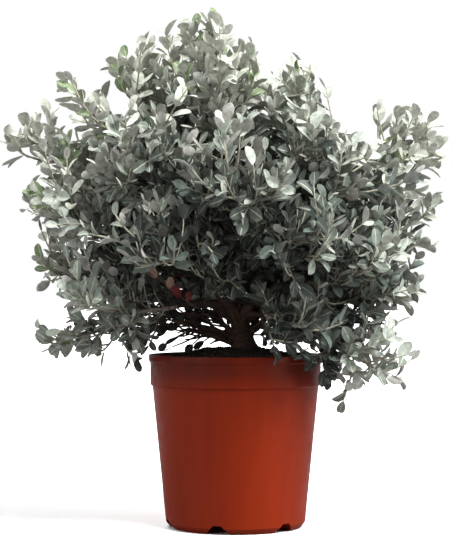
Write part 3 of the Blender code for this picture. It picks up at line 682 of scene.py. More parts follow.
class Canopy:
    """The stems of all masses and the limbs, and which mass a point belongs to."""

    def __init__(self, stems, limbs, box):
        self.stems = stems
        self.box = box
        self.stem_lines, self.stem_firsts = self.lines(stems)
        self.limb_lines, self.limb_firsts = self.lines([path for path, _ in limbs])
        self.limb_radii = np.array([radii[0] for _, radii in limbs])
        self.furthest = [polar(arm.bearing, arm.reach, arm.height) for arm in ARMS]
        self.ahead = [(far - stem[0]).normalized() for far, stem in zip(self.furthest, stems)]
        self.taken = {}

    @staticmethod
    def lines(paths):
        """Start, edge and squared length of every straight piece, and each path's first."""
        starts = np.array([a for path in paths for a in path[:-1]])
        edges = np.array([b - a for path in paths for a, b in zip(path, path[1:])])
        firsts = np.cumsum([0] + [len(path) - 1 for path in paths[:-1]])
        return (starts, edges, (edges * edges).sum(axis=1)), firsts

    @staticmethod
    def distances(point, lines, firsts):
        """Distance from a point to each path."""
        starts, edges, squares = lines
        away = np.array(point) - starts
        share = np.clip((away * edges).sum(axis=1) / squares, 0, 1)
        gaps = np.linalg.norm(away - edges * share[:, None], axis=1)
        return np.minimum.reduceat(gaps, firsts)

    def owns(self, number, point, spare, overlap):
        gaps = self.distances(point, self.stem_lines, self.stem_firsts)
        mine = gaps[number]
        if mine > ARMS[number].half_width + spare:
            return False
        if (point - self.furthest[number]).dot(self.ahead[number]) > 0:
            return False
        gaps[number] = np.inf
        return gaps.min() > mine + SPACE_MARGIN - overlap

    def fits(self, number, point, spare, overlap):
        reach = math.hypot(point.x, point.y)
        if point.z < SOIL_TOP + POT_MARGIN and reach < LIP_RADIUS + POT_MARGIN:
            return False
        left, right, top = OPEN_SIDE
        if left < point.x < right and point.y < 0 and point.z < top:
            return False
        left, right, front, low, top = OLD_HOLLOW
        if left < point.x < right and point.y < front and low < point.z < top:
            return False
        if any(math.hypot(point.x - x, point.z - z) < gap for x, z, gap in SKY_GAPS):
            return False
        low, high = self.box
        if not all(a + BOX_MARGIN < c < b - BOX_MARGIN for a, c, b in zip(low, point, high)):
            return False
        limbs = self.distances(point, self.limb_lines, self.limb_firsts)
        off_limbs = (limbs > self.limb_radii + LIMB_MARGIN).all()
        return off_limbs and self.owns(number, point, spare, overlap)

    def near_limb(self, point, reach):
        """True where a limb's own sprigs may end: near a limb, yet off all limbs and the pot."""
        limbs = self.distances(point, self.limb_lines, self.limb_firsts)
        off_pot = point.z > SOIL_TOP + POT_MARGIN
        left, right, top = OPEN_SIDE
        if left < point.x < right and (point.z < OPEN_LOW or point.y < OPEN_BACK and point.z < top):
            return False
        return off_pot and limbs.min() < reach and (limbs > self.limb_radii + LIMB_MARGIN).all()

    def take(self, middle):
        """True once for each middle of a leaf that no other leaf's middle is too near to."""
        cell = tuple(math.floor(c / LEAF_ROOM) for c in middle)
        around = [(x, y, z) for x in (-1, 0, 1) for y in (-1, 0, 1) for z in (-1, 0, 1)]
        for x, y, z in around:
            for other in self.taken.get((cell[0] + x, cell[1] + y, cell[2] + z), ()):
                if (other - middle).length < LEAF_ROOM:
                    return False
        self.taken.setdefault(cell, []).append(middle)
        return True

    def count_leaves(self):
        """Notes where the leaves are by now, for the next shoots to find the open places."""
        self.crowd = nearest_tree([middle for cell in self.taken.values() for middle in cell])


class Growth:
    """Sprigs and leaves as they are grown, each kept where there is room for it."""

    lift = SPRIG_LIFT

    def __init__(self, canopy, seed):
        self.canopy = canopy
        self.rule = random.Random(seed)
        self.twigs, self.sprigs, self.joints = [], [], []
        self.leaves = {tint: [] for tint in TINTS}

    def leaf(self, foot, along, out, spread, size, spare):
        """One leaf where it fits, with its upper side towards the shoot's tip and the light."""
        rule = self.rule
        reach = (along * math.cos(spread) + out * math.sin(spread)).normalized()
        face = along * math.sin(spread) - out * math.cos(spread)
        away = (foot - CANOPY_HEART).normalized()
        chance = Vector((rule.uniform(-1, 1), rule.uniform(-1, 1), rule.uniform(-1, 1)))
        light = away * LIGHT_FROM_OUT + UP * LIGHT_FROM_UP
        face += light * LEAF_TO_LIGHT + chance * LEAF_TWIST_CHANCE
        face = (face - reach * face.dot(reach)).normalized()
        outer = min(1.0, max(0.0, ((foot - CANOPY_HEART).length - DIM) / (BRIGHT - DIM)))
        size *= mix(SIZE_WITHIN, SIZE_OUTSIDE, outer)
        breadth = size * rule.uniform(*LEAF_BREADTHS) * mix(BREADTH_WITHIN, BREADTH_OUTSIDE, outer)
        tip = foot + reach * LEAF_LENGTH * size
        if not self.clear(tip, spare + LEAF_OVERHANG, LEAF_OVERLAP):
            return []
        free = self.canopy.take(foot.lerp(tip, LEAF_MIDDLE))
        return [Leaf(foot, reach, face, size, breadth)] if free else []

    def pair(self, foot, along, turn, spread, sizes, spare):
        leaves = []
        for side in (0, 180):
            chance = self.rule.uniform(-LEAF_ROLL_CHANCE, LEAF_ROLL_CHANCE)
            roll = math.radians(turn + side + chance)
            out = outward(along, roll)
            lean = math.radians(spread + self.rule.uniform(-SPREAD_CHANCE, SPREAD_CHANCE))
            leaves += self.leaf(foot, along, out, lean, self.rule.uniform(*sizes), spare)
        return leaves

    def leaf_pairs(self, path, first, spare, step=LEAF_STEP):
        """Opposite pairs along a shoot from a distance on, each square to the last."""
        leaves = []
        length = path_length(path)
        count = max(1, int((length - first) / step) + 1)
        turn = self.rule.uniform(0, 180)
        for pair in range(count):
            share = (first + pair * (length - first) / count) / length
            foot, along = along_path(path, share)
            spread = mix(*LEAF_SPREAD, share)
            leaves += self.pair(foot, along, turn + 90 * pair, spread, LEAF_SIZES, spare)
        foot, along = along_path(path, 1.0)
        return leaves + self.pair(foot, along, turn + 90 * count, TIP_SPREAD, TIP_SIZES, spare)

    def sprig_ways(self, forward, roll, share):
        """The ways in which a sprig may leave its node, the first choice first."""
        rule = self.rule
        roll += rule.uniform(-SPRIG_CHANCE, SPRIG_CHANCE)
        lean = math.radians(mix(*SPRIG_ANGLES, share) + rule.uniform(-SPRIG_CHANCE, SPRIG_CHANCE))
        for cut in SPRIG_TRIES:
            for aside in SPRIG_ROLLS:
                out = outward(forward, math.radians(roll + aside))
                yield forward * math.cos(lean) + out * math.sin(lean), cut

    def sprig(self, point, forward, roll, share, scale=1.0, room=0.0, lift=None, wand=False):
        """The longest sprig that fits, with its leaves, and a fork where it is long enough."""
        outer = ((point - CANOPY_HEART).length - AIRY_FROM) / (AIRY_TO - AIRY_FROM)
        outer = max(0.0, min(1.0, outer))
        if not wand and self.rule.random() < AIRY_SHARE * outer:
            return
        whole = scale * self.rule.uniform(*SPRIG_LENGTHS) * (1 - SPRIG_SHRINK * share)
        spare = self.rule.uniform(*OVERHANGS)
        wand = wand or self.rule.random() < WAND_CHANCE * outer
        low, high = LIFT_HEIGHTS
        if lift is None:
            lift = self.lift * min(1.0, max(LEAST_LIFT, (point.z - low) / (high - low)))
        if wand:
            whole, spare = self.rule.uniform(*WAND_LENGTHS), WAND_OVERHANG
            lift += WAND_LIFT * self.rule.random()
        for heading, cut in self.sprig_ways(forward, roll, share):
            length = whole * cut
            end = point + (heading * SPRIG_REACH + UP * lift).normalized() * length
            if not self.clear(end, spare, SPRIG_OVERLAP):
                continue
            if room and self.canopy.crowd.find(end)[2] < room:
                continue
            path = bend(point, point + heading * length * SHOOT_BEND, end, SHOOT_STEPS)
            step = WAND_LEAF_STEP if wand else LEAF_STEP
            leaves = self.leaf_pairs(path, LEAF_FIRST, spare, step)
            if len(leaves) < (WAND_LEAVES if wand else 1):
                return
            self.leaves[self.tint(end, share)] += leaves
            self.sprigs.append(Shoot(cut_off(path, leaves[-1].place), SPRIG_RADII, ()))
            self.joints.append((*along_path(path, FILL_FROM), share))
            if length > FORK_FROM and not wand:
                place, along = along_path(path, FORK_SHARE)
                turn = self.rule.uniform(0, 180)
                self.sprig(place, along, turn, share, FORK_SCALE)
                self.sprig(place, along, turn + 180, share, FORK_SCALE)
            return

    def fill(self):
        """Further sprigs towards the places that no leaf has reached yet."""
        left, low = FILL_LOW
        for point, forward, share in list(self.joints):
            airy = point.x < left and point.z < low
            if airy or (point - CANOPY_HEART).length > FILL_WITHIN:
                continue
            for roll in FILL_ROLLS:
                lift = self.rule.uniform(*FILL_LIFTS)
                lift = abs(lift) if point.z < HANG_FROM else lift
                self.sprig(point, forward, roll, share, FILL_SCALE, FILL_ROOM, lift)

    def tip_shoot(self, path, whole):
        """The leafy shoot in which a stem or twig ends, going on from its path."""
        point, forward = along_path(path, 1.0)
        for cut in SPRIG_TRIES:
            length = whole * cut
            end = point + forward * length + UP * length * TIP_LIFT
            if self.clear(end, OVERHANGS[1], SPRIG_OVERLAP):
                shoot = bend(point, point + forward * length * SHOOT_BEND, end, SHOOT_STEPS)
                leaves = self.leaf_pairs(shoot, LEAF_STEP * TIP_FIRST, OVERHANGS[1])
                if not leaves:
                    continue
                self.sprigs.append(Shoot(cut_off(shoot, leaves[-1].place), SPRIG_RADII, ()))
                self.leaves[self.tint(end, 1.0)] += leaves
                return
        pair = self.pair(point, forward, 0.0, TIP_SPREAD, LEAF_SIZES, 0.0)
        self.leaves[self.tint(point, 1.0)] += pair


class Mass(Growth):
    """The stem, twigs, sprigs and leaves of one mass, grown in its own space."""

    def __init__(self, number, canopy):
        super().__init__(canopy, number * MASS_SEEDS[0] + MASS_SEEDS[1])
        self.number = number
        self.arm = ARMS[number]
        self.stem = canopy.stems[number]

    def clear(self, point, spare, overlap):
        return self.canopy.fits(self.number, point, spare, overlap)

    def tint(self, place, share):
        """The colour of a sprig's leaves: paler further out, higher and to the right, deep within, partly
        their own age and partly painted light and shade.
        """
        if any(math.hypot(place.x - x, place.z - z) < FRESH_REACH for x, z in FRESH_SPOTS):
            return "fresh"
        away = place - CANOPY_HEART
        away.y *= FRONT_SHARE
        out = (away.length - DIM) / (BRIGHT - DIM)
        high = (place.z - LIGHT_HEIGHTS[0]) / LIGHT_HEIGHTS[1]
        light = sum(part * value for part, value in zip(LIGHT_SHARES, (out, share, high)))
        hollow = math.hypot(place.x - SHADE_HEART[0], place.z - SHADE_HEART[1])
        light -= SHADE * max(0.0, 1 - hollow / SHADE_REACH)
        light += LIT_SIDE * place.x + self.rule.uniform(-LIGHT_CHANCE, LIGHT_CHANCE)
        name = next(name for name, step in TINT_STEPS if light < step)
        if out > BUDDING_FROM and name in ("silver", "new") and self.rule.random() < BUDDING_CHANCE:
            return "budding"
        if name == "deep":
            return self.rule.choice(("deep", "deep_blue"))
        bluish = name in ("sage", "grey_sage") and self.rule.random() < BLUISH_CHANCE + place.x
        return "blue_sage" if bluish else name

    def twig(self, path, share):
        """A twig by the rule of the solids, with sprigs in opposite pairs and a leafy tip."""
        for cut in TWIG_TRIES:
            points = [path[0].lerp(point, cut) for point in path]
            if not all(self.clear(point, 0.0, 0.0) for point in points[1:]):
                continue
            length = path_length(points)
            turn = self.rule.uniform(0, 180)
            count = int((length - SPRIG_FIRST) / SPRIG_STEP) + 1
            shares = [(SPRIG_FIRST + node * SPRIG_STEP) / length for node in range(count)]
            for node, along in enumerate(shares):
                point, forward = along_path(points, along)
                self.joints.append((point, forward, along))
                self.sprig(point, forward, turn + 90 * node, along)
                self.sprig(point, forward, turn + 90 * node + 180, along)
            self.tip_shoot(points, TWIG_TIP_SHOOT)
            self.twigs.append(Shoot(smoothed(points, 4), TWIG_RADII, shares))
            return

    def grow(self, limb_radius):
        """Everything of the mass, on a stem that starts as thick as the limb before it."""
        nodes = list(stem_nodes(self.stem))
        for node, point, forward, share in nodes:
            self.joints.append((point, forward, share))
            for side in (0, 1):
                if node % 2 == 0:
                    room = self.arm.half_width
                    path = twig_path(self.number, node, side, point, forward, share, room)
                    self.twig(path, share)
                self.sprig(point, forward, 45 * node + 180 * side + 90, share)
                if node % 2:
                    self.sprig(point, forward, 45 * node + 180 * side, share)
        self.tip_shoot(self.stem, TIP_SHOOT)
        tip, forward = along_path(self.stem, 1.0)
        for roll in FAN_ROLLS:
            self.sprig(tip, forward, roll, 1.0, lift=0.0, wand=True)
        first = self.stem[0] - (self.stem[1] - self.stem[0]).normalized() * STEM_FOOT
        stem = smoothed([first] + self.stem, 4)
        self.twigs.append(Shoot(stem, (limb_radius, *STEM_RADII), [share for *_, share in nodes]))


class InnerGrowth(Growth):
    """Dark sprigs on the limbs themselves, and bare and old twigs, round the open trunk; their darkness is
    partly painted shade.
    """

    lift = INNER_LIFT

    def clear(self, point, spare, overlap):
        return self.canopy.near_limb(point, LIMB_SPACE + spare)

    def tint(self, place, share):
        # Only dark tints here: painted shade for the hollow round the trunk.
        return self.rule.choice(INNER_TINTS)

    def grow(self, path, first):
        """Opposite sprigs along a limb from a distance on."""
        length = path_length(path)
        left, right, top = OPEN_SIDE
        for node in range(int((length - first) / LIMB_SPRIG_STEP) + 1):
            share = (first + node * LIMB_SPRIG_STEP) / length
            point, forward = along_path(path, share)
            inside = left < point.x < right and point.z < top
            self.joints.append((point, forward, share))
            for side in (0, 1):
                roll = 45 + 90 * node + 180 * side
                if not inside or outward(forward, math.radians(roll)).y > OPEN_FACING:
                    self.sprig(point, forward, roll, share, LIMB_SPRIG_SCALE)

    def grow_bare_twigs(self, path):
        """Thin twigs along a low shoot, fanned out and drooping, some with a leaf at the end."""
        length = path_length(path)
        for node in range(int((length - BARE_FROM) / BARE_STEP) + 1):
            point, forward = along_path(path, (BARE_FROM + node * BARE_STEP) / length)
            aside = Vector((0, self.rule.uniform(*BARE_ASIDE), self.rule.uniform(*BARE_DROOP)))
            reach = (forward + aside).normalized() * self.rule.uniform(*BARE_LENGTHS)
            end = point + reach
            end.z = max(end.z, SOIL_TOP + POT_MARGIN)
            lead = point + reach * SHOOT_BEND + UP * self.rule.uniform(*BARE_BOW)
            self.twigs.append(Shoot(bend(point, lead, end, SHOOT_STEPS), BARE_RADII, ()))
            if self.rule.random() < BARE_LEAF_CHANCE:
                along = (end - lead).normalized()
                facing = Vector((0.3, self.rule.uniform(-1, 1), 0.4))
                face = along.cross(facing.cross(along)).normalized()
                size = self.rule.uniform(*BARE_LEAF_SIZES)
                # Each such leaf gets the darkest tint: painted shade.
                self.leaves["deep"].append(Leaf(end, along, face, size, size))

    def grow_old_twig(self, carrier):
        """A bare twig with a few withered leaves still on it."""
        foot, _ = along_path(carrier, OLD_TWIG_STATION)
        path = bend(foot, OLD_TWIG_LEAD, OLD_TWIG_TIP, OLD_TWIG_STEPS)
        self.twigs.append(Shoot(path, TWIG_RADII, [share for share, _ in OLD_LEAVES]))
        for number, (share, tint) in enumerate(OLD_LEAVES):
            point, along = along_path(path, share)
            out = OLD_LEAF_SIDES[number % 2].normalized()
            reach = (along + out * OLD_LEAF_SPREAD).normalized()
            face = reach.cross(OLD_LEAF_FACING.cross(reach)).normalized()
            self.leaves[tint].append(Leaf(point, reach, face, *OLD_LEAF_SIZE))


def shoot_radii(shoot):
    """Radius at each point of a shoot: tapering, with a swelling at each node."""
    length = path_length(shoot.path)
    first, last = shoot.radii[-2:]
    radii = []
    for run in runs(shoot.path):
        radius = mix(first, last, run / length)
        if len(shoot.radii) == 3:
            radius = max(radius, mix(shoot.radii[0], first, min(1.0, run / STEM_TAPER)))
        near = min([abs(run / length - share) * length for share in shoot.nodes], default=1.0)
        swell = max(0.0, 1 - near / SWELL_REACH)
        radii.append(radius * (1 + (NODE_SWELL - 1) * swell))
    return radii


def shoot_mesh(name, shoots):
    """All shoots as lines of edges, with the thickness at each point."""
    points, edges, radii = [], [], []
    for shoot in shoots:
        first = len(points)
        bud = (shoot.path[-1] - shoot.path[-2]).normalized() * BUD
        points += [*shoot.path, shoot.path[-1] + bud]
        edges += [(k, k + 1) for k in range(first, len(points) - 1)]
        radii += [*shoot_radii(shoot), shoot.radii[-1] * BUD_TIP]
    mesh = new_mesh(name, points, edges)
    thickness = mesh.attributes.new("thickness", "FLOAT", "POINT")
    thickness.data.foreach_set("value", radii)
    return mesh


def shoot_tree():
    """Round bars of the given thickness along lines of edges."""
    inputs = (("Geometry", "Geometry", None), ("Sides", "Int", 5), ("Bark", "Material", None))
    nodes, given, made = new_group("shoots", "GeometryNodeTree", inputs, (("Geometry", "Geometry"),))
    thickness = nodes.add("GeometryNodeInputNamedAttribute", {"Name": "thickness"}, data_type="FLOAT")
    lines = nodes.add("GeometryNodeMeshToCurve", {"Mesh": given["Geometry"]})
    ring = nodes.add("GeometryNodeCurvePrimitiveCircle", {"Resolution": given["Sides"], "Radius": 1.0})
    feed = {
        "Curve": lines.outputs["Curve"],
        "Profile Curve": ring.outputs["Curve"],
        "Scale": thickness.outputs["Attribute"],
        "Fill Caps": True,
    }
    bars = nodes.add("GeometryNodeCurveToMesh", feed)
    smooth = nodes.add("GeometryNodeSetShadeSmooth", {"Geometry": bars.outputs["Mesh"]})
    plain = nodes.add("GeometryNodeRealizeInstances", {"Geometry": smooth.outputs["Geometry"]})
    feed = {"Geometry": plain.outputs["Geometry"], "Material": given["Bark"]}
    finish = nodes.add("GeometryNodeSetMaterial", feed)
    nodes.tree.links.new(finish.outputs["Geometry"], made["Geometry"])
    return nodes.tree


def blade_tree():
    """One leaf along +X, upper side to +Z: a thin closed blade, folded up from its midrib."""
    inputs = (
        ("Length", "Float", LEAF_LENGTH),
        ("Width", "Float", LEAF_WIDTH),
        ("Fold", "Float", 0.2),
        ("Arch", "Float", 0.0),
    )
    nodes, given, made = new_group("leaf blade", "GeometryNodeTree", inputs, (("Geometry", "Geometry"),))
    line = nodes.add("GeometryNodeCurvePrimitiveLine", {"End": (1, 0, 0)})
    rows = nodes.add("GeometryNodeResampleCurve", {"Curve": line.outputs[0], "Count": LEAF_ROWS})
    index = nodes.add("GeometryNodeInputIndex").outputs[0]
    # The rows lie closer together towards both ends.
    turn = nodes.math("MULTIPLY", index, math.pi / (LEAF_ROWS - 1))
    run = nodes.math("MULTIPLY_ADD", nodes.math("COSINE", turn), -0.5, 0.5)
    outline = nodes.add("ShaderNodeFloatCurve", {"Value": run})
    points = outline.mapping.curves[0].points
    points[0].location, points[1].location = LEAF_OUTLINE[0], LEAF_OUTLINE[-1]
    for share, width in LEAF_OUTLINE[1:-1]:
        points.new(share, width)
    outline.mapping.update()
    rise = nodes.math("MULTIPLY", nodes.math("MULTIPLY", run, nodes.math("SUBTRACT", 1.0, run)), 4.0)
    height = nodes.math("MULTIPLY", nodes.math("MULTIPLY", rise, given["Arch"]), given["Length"])
    along = nodes.math("MULTIPLY", run, given["Length"])
    place = nodes.add("ShaderNodeCombineXYZ", {"X": along, "Z": height})
    feed = {"Geometry": rows.outputs[0], "Position": place.outputs[0]}
    midrib = nodes.add("GeometryNodeSetPosition", feed)
    across = nodes.add("GeometryNodeCurvePrimitiveCircle", {"Resolution": len(LEAF_SECTION), "Radius": 1.0})
    corner = nodes.add("GeometryNodeIndexSwitch", data_type="VECTOR")
    while len(corner.index_switch_items) < len(LEAF_SECTION):
        corner.index_switch_items.new()
    corner_index = nodes.add("GeometryNodeInputIndex").outputs[0]
    nodes.tree.links.new(corner_index, corner.inputs[0])
    for k, point in enumerate(LEAF_SECTION):
        corner.inputs[k + 1].default_value = point
    split = nodes.add("ShaderNodeSeparateXYZ", {0: corner.outputs[0]})
    lift = nodes.math("MULTIPLY", nodes.math("ABSOLUTE", split.outputs["X"]), given["Fold"])
    feed = {"X": split.outputs["X"], "Y": nodes.math("SUBTRACT", split.outputs["Y"], lift)}
    raised = nodes.add("ShaderNodeCombineXYZ", feed)
    feed = {"Geometry": across.outputs[0], "Position": raised.outputs[0]}
    profile = nodes.add("GeometryNodeSetPosition", feed)
    half = nodes.math("MULTIPLY", nodes.math("MULTIPLY", outline.outputs[0], given["Width"]), 0.5)
    feed = {
        "Curve": midrib.outputs[0],
        "Profile Curve": profile.outputs[0],
        "Scale": half,
        "Fill Caps": True,
    }
    blade = nodes.add("GeometryNodeCurveToMesh", feed)
    nodes.tree.links.new(blade.outputs[0], made["Geometry"])
    return nodes.tree


def leaf_tree(blade):
    """Leaves on points, each with its own turn, size and form, in three finishes."""
    inputs = (
        ("Geometry", "Geometry", None),
        ("Length", "Float", LEAF_LENGTH),
        ("Width", "Float", LEAF_WIDTH),
        ("Rib reach", "Float", RIB_REACH),
        ("Upper", "Material", None),
        ("Under", "Material", None),
        ("Rib", "Material", None),
    )
    nodes, given, made = new_group("leaves", "GeometryNodeTree", inputs, (("Geometry", "Geometry"),))
    forms = nodes.add("GeometryNodeJoinGeometry")
    for fold, arch in reversed(LEAF_FORMS):
        feed = {"Length": given["Length"], "Width": given["Width"], "Fold": fold, "Arch": arch}
        leaf = nodes.group("GeometryNodeGroup", blade, feed)
        single = nodes.add("GeometryNodeGeometryToInstance", {0: marked_sides(nodes, leaf[0], given)})
        nodes.tree.links.new(single.outputs[0], forms.inputs[0])

    def named(label, kind):
        return nodes.add("GeometryNodeInputNamedAttribute", {"Name": label}, data_type=kind).outputs[0]

    feed = {
        "Points": given["Geometry"],
        "Instance": forms.outputs[0],
        "Pick Instance": True,
        "Instance Index": named("form", "INT"),
        "Rotation": named("turn", "QUATERNION"),
        "Scale": named("size", "FLOAT_VECTOR"),
    }
    placed = nodes.add("GeometryNodeInstanceOnPoints", feed)
    plain = nodes.add("GeometryNodeRealizeInstances", {0: placed.outputs[0]}).outputs[0]
    plain = nodes.add("GeometryNodeSetMaterial", {0: plain, "Material": given["Under"]}).outputs[0]
    for label, mark in (("Upper", "upper side"), ("Rib", "midrib")):
        feed = {0: plain, "Selection": named(mark, "BOOLEAN"), "Material": given[label]}
        plain = nodes.add("GeometryNodeSetMaterial", feed).outputs[0]
    nodes.tree.links.new(plain, made["Geometry"])
    return nodes.tree


def marked_sides(nodes, blade, given):
    """Marks a blade's upper faces and its midrib, and makes its rim a sharp edge."""
    angle = nodes.add("GeometryNodeInputMeshEdgeAngle").outputs["Unsigned Angle"]
    rim = nodes.add("FunctionNodeCompare", {0: angle, 1: math.radians(LEAF_EDGE)}, operation="GREATER_THAN")
    feed = {"Geometry": blade, "Selection": rim.outputs[0], "Shade Smooth": False}
    blade = nodes.add("GeometryNodeSetShadeSmooth", feed, domain="EDGE").outputs[0]
    normal = nodes.add("ShaderNodeSeparateXYZ", {0: nodes.add("GeometryNodeInputNormal").outputs[0]})
    upper = nodes.add("FunctionNodeCompare", {0: normal.outputs["Z"], 1: 0.0}, operation="GREATER_THAN")
    place = nodes.add("ShaderNodeSeparateXYZ", {0: nodes.add("GeometryNodeInputPosition").outputs[0]})
    off = nodes.math("ABSOLUTE", place.outputs["Y"])
    close = nodes.add("FunctionNodeCompare", {0: off, 1: given["Rib reach"]}, operation="LESS_THAN")
    feed = {0: close.outputs[0], 1: upper.outputs[0]}
    both = nodes.add("FunctionNodeBooleanMath", feed, operation="AND")
    for label, mark in (("upper side", upper.outputs[0]), ("midrib", both.outputs[0])):
        feed = {"Geometry": blade, "Name": label, "Value": mark}
        store = nodes.add("GeometryNodeStoreNamedAttribute", feed, data_type="BOOLEAN", domain="FACE")
        blade = store.outputs[0]
    return blade


def leaf_points(name, leaves, rule):
    """Leaves as points with a turn, a size and a form."""
    mesh = new_mesh(name, [leaf.place for leaf in leaves])
    turns, sizes = [], []
    for leaf in leaves:
        across = leaf.face.cross(leaf.reach)
        turns += Matrix((leaf.reach, across, leaf.face)).transposed().to_quaternion()[:]
        sizes += (leaf.length, leaf.breadth, (leaf.length + leaf.breadth) / 2)
    forms = [rule.randrange(len(LEAF_FORMS)) for _ in leaves]
    mesh.attributes.new("turn", "QUATERNION", "POINT").data.foreach_set("value", turns)
    mesh.attributes.new("size", "FLOAT_VECTOR", "POINT").data.foreach_set("vector", sizes)
    mesh.attributes.new("form", "INT", "POINT").data.foreach_set("value", forms)
    return mesh


def lathe(profile, segments):
    """Points and faces of a profile of (radius, height) turned about Z, from axis to axis."""
    points, rings = [], []
    for radius, height in profile:
        if radius == 0:
            rings.append([len(points)] * segments)
            points.append((0, 0, height))
            continue
        rings.append(list(range(len(points), len(points) + segments)))
        turns = [math.tau * k / segments for k in range(segments)]
        points += [(radius * math.cos(a), radius * math.sin(a), height) for a in turns]
    faces = []
    for low, high in zip(rings, rings[1:]):
        for k in range(segments):
            after = (k + 1) % segments
            faces.append(tuple(dict.fromkeys((low[k], low[after], high[after], high[k]))))
    return points, faces


def rounded(profile, radius):
    """A profile whose inner corners are replaced by arcs."""
    made = [profile[0]]
    for before, corner, after in zip(profile, profile[1:], profile[2:]):
        corner, before, after = Vector(corner), Vector(before), Vector(after)
        cut = min(radius, (before - corner).length * 0.45, (after - corner).length * 0.45)
        first = corner + (before - corner).normalized() * cut
        last = corner + (after - corner).normalized() * cut
        for k in range(5):
            t = k / 4
            made.append(tuple(first * (1 - t) ** 2 + corner * 2 * t * (1 - t) + last * t * t))
    return made + [profile[-1]]


def boolean(thing, tools):
    """Cuts the tools out of a piece, one after the other, and removes them."""
    for tool in tools:
        step = thing.modifiers.new("cut", "BOOLEAN")
        step.operation = "DIFFERENCE"
        step.object = tool
        step.solver = "EXACT"
        settled(thing)
        bpy.data.objects.remove(tool, do_unlink=True)


def lathe_piece(name, profile, segments):
    points, faces = lathe(profile, segments)
    return add_object(name, new_mesh(name, points, faces=faces))


def channel_prism(bearing, grow):
    """A radial bar of the drainage channel's section, larger all round by grow."""
    foot, roof, high = CHANNEL_FOOT / 2, CHANNEL_ROOF / 2, CHANNEL_HEIGHT
    slope = (foot - roof) / high
    low = -CHANNEL_SUNK
    wide, narrow = foot - slope * low + grow, roof + grow
    section = ((-wide, low), (wide, low), (narrow, high + grow), (-narrow, high + grow))
    ends = (CHANNEL_START - grow, MOUTH_RADIUS)
    faces = [(3, 2, 1, 0), (4, 5, 6, 7)]
    faces += [(k, (k + 1) % 4, 4 + (k + 1) % 4, 4 + k) for k in range(4)]
    mesh = new_mesh("channel", [(x, y, z) for x in ends for y, z in section], faces=faces)
    mesh.transform(Matrix.Rotation(math.radians(bearing), 4, "Z"))
    return add_object("channel", mesh)


def build_pot(finish):
    """A turned pot with rounded edges, six channels under the foot and a drain in each."""
    top = POT_HEIGHT - BAND_HEIGHT
    lip = POT_HEIGHT - LIP_HEIGHT
    outside = [
        (0, 0),
        (FOOT_RADIUS, 0),
        (CORNER_RADIUS, CORNER_HEIGHT),
        (WALL_TOP_RADIUS, top - STEP_HEIGHT),
        (BAND_RADIUS, top),
        (MOUTH_RADIUS - LIP_LEDGE / 2, lip - LIP_LEDGE),
        (LIP_RADIUS, lip),
        (LIP_RADIUS, POT_HEIGHT),
        (MOUTH_RADIUS - WALL, POT_HEIGHT),
        (MOUTH_RADIUS - WALL, POT_HEIGHT - MOUTH_PLUG),
        (0, POT_HEIGHT - MOUTH_PLUG),
    ]
    inside = [
        (0, WALL),
        (FOOT_RADIUS - WALL, WALL),
        (CORNER_RADIUS - WALL, CORNER_HEIGHT),
        (WALL_TOP_RADIUS - WALL, top - STEP_HEIGHT + INNER_STEP),
        (BAND_RADIUS - WALL, top + INNER_STEP),
        (MOUTH_RADIUS - WALL, POT_HEIGHT - MOUTH_PLUG),
        (MOUTH_RADIUS - WALL, POT_HEIGHT + CUT_PAST),
        (0, POT_HEIGHT + CUT_PAST),
    ]
    bearings = [CHANNEL_FIRST + 360 / CHANNELS * k for k in range(CHANNELS)]
    hollow = lathe_piece("hollow", inside, POT_SEGMENTS)
    boolean(hollow, [channel_prism(bearing, WALL) for bearing in bearings])
    pot = lathe_piece("nursery_pot", rounded(outside[:9], POT_FILLET) + outside[9:], POT_SEGMENTS)
    tools = [hollow] + [channel_prism(bearing, 0) for bearing in bearings]
    for bearing in bearings:
        radius = DRAIN_RADIUS
        bore = [(0, -CUT_PAST), (radius, -CUT_PAST), (radius, DRAIN_CUT), (0, DRAIN_CUT)]
        drain = lathe_piece("drain", bore, DRAIN_SIDES)
        drain.data.transform(Matrix.Translation(polar(bearing, DRAIN_REACH, 0)))
        tools.append(drain)
    boolean(pot, tools)
    pot.data.materials.clear()
    pot.data.materials.append(finish)
    pot.data.shade_smooth()
    pot.data.set_sharp_from_angle(angle=math.radians(SHARP_EDGE))
    dress(pot, ["pot"])


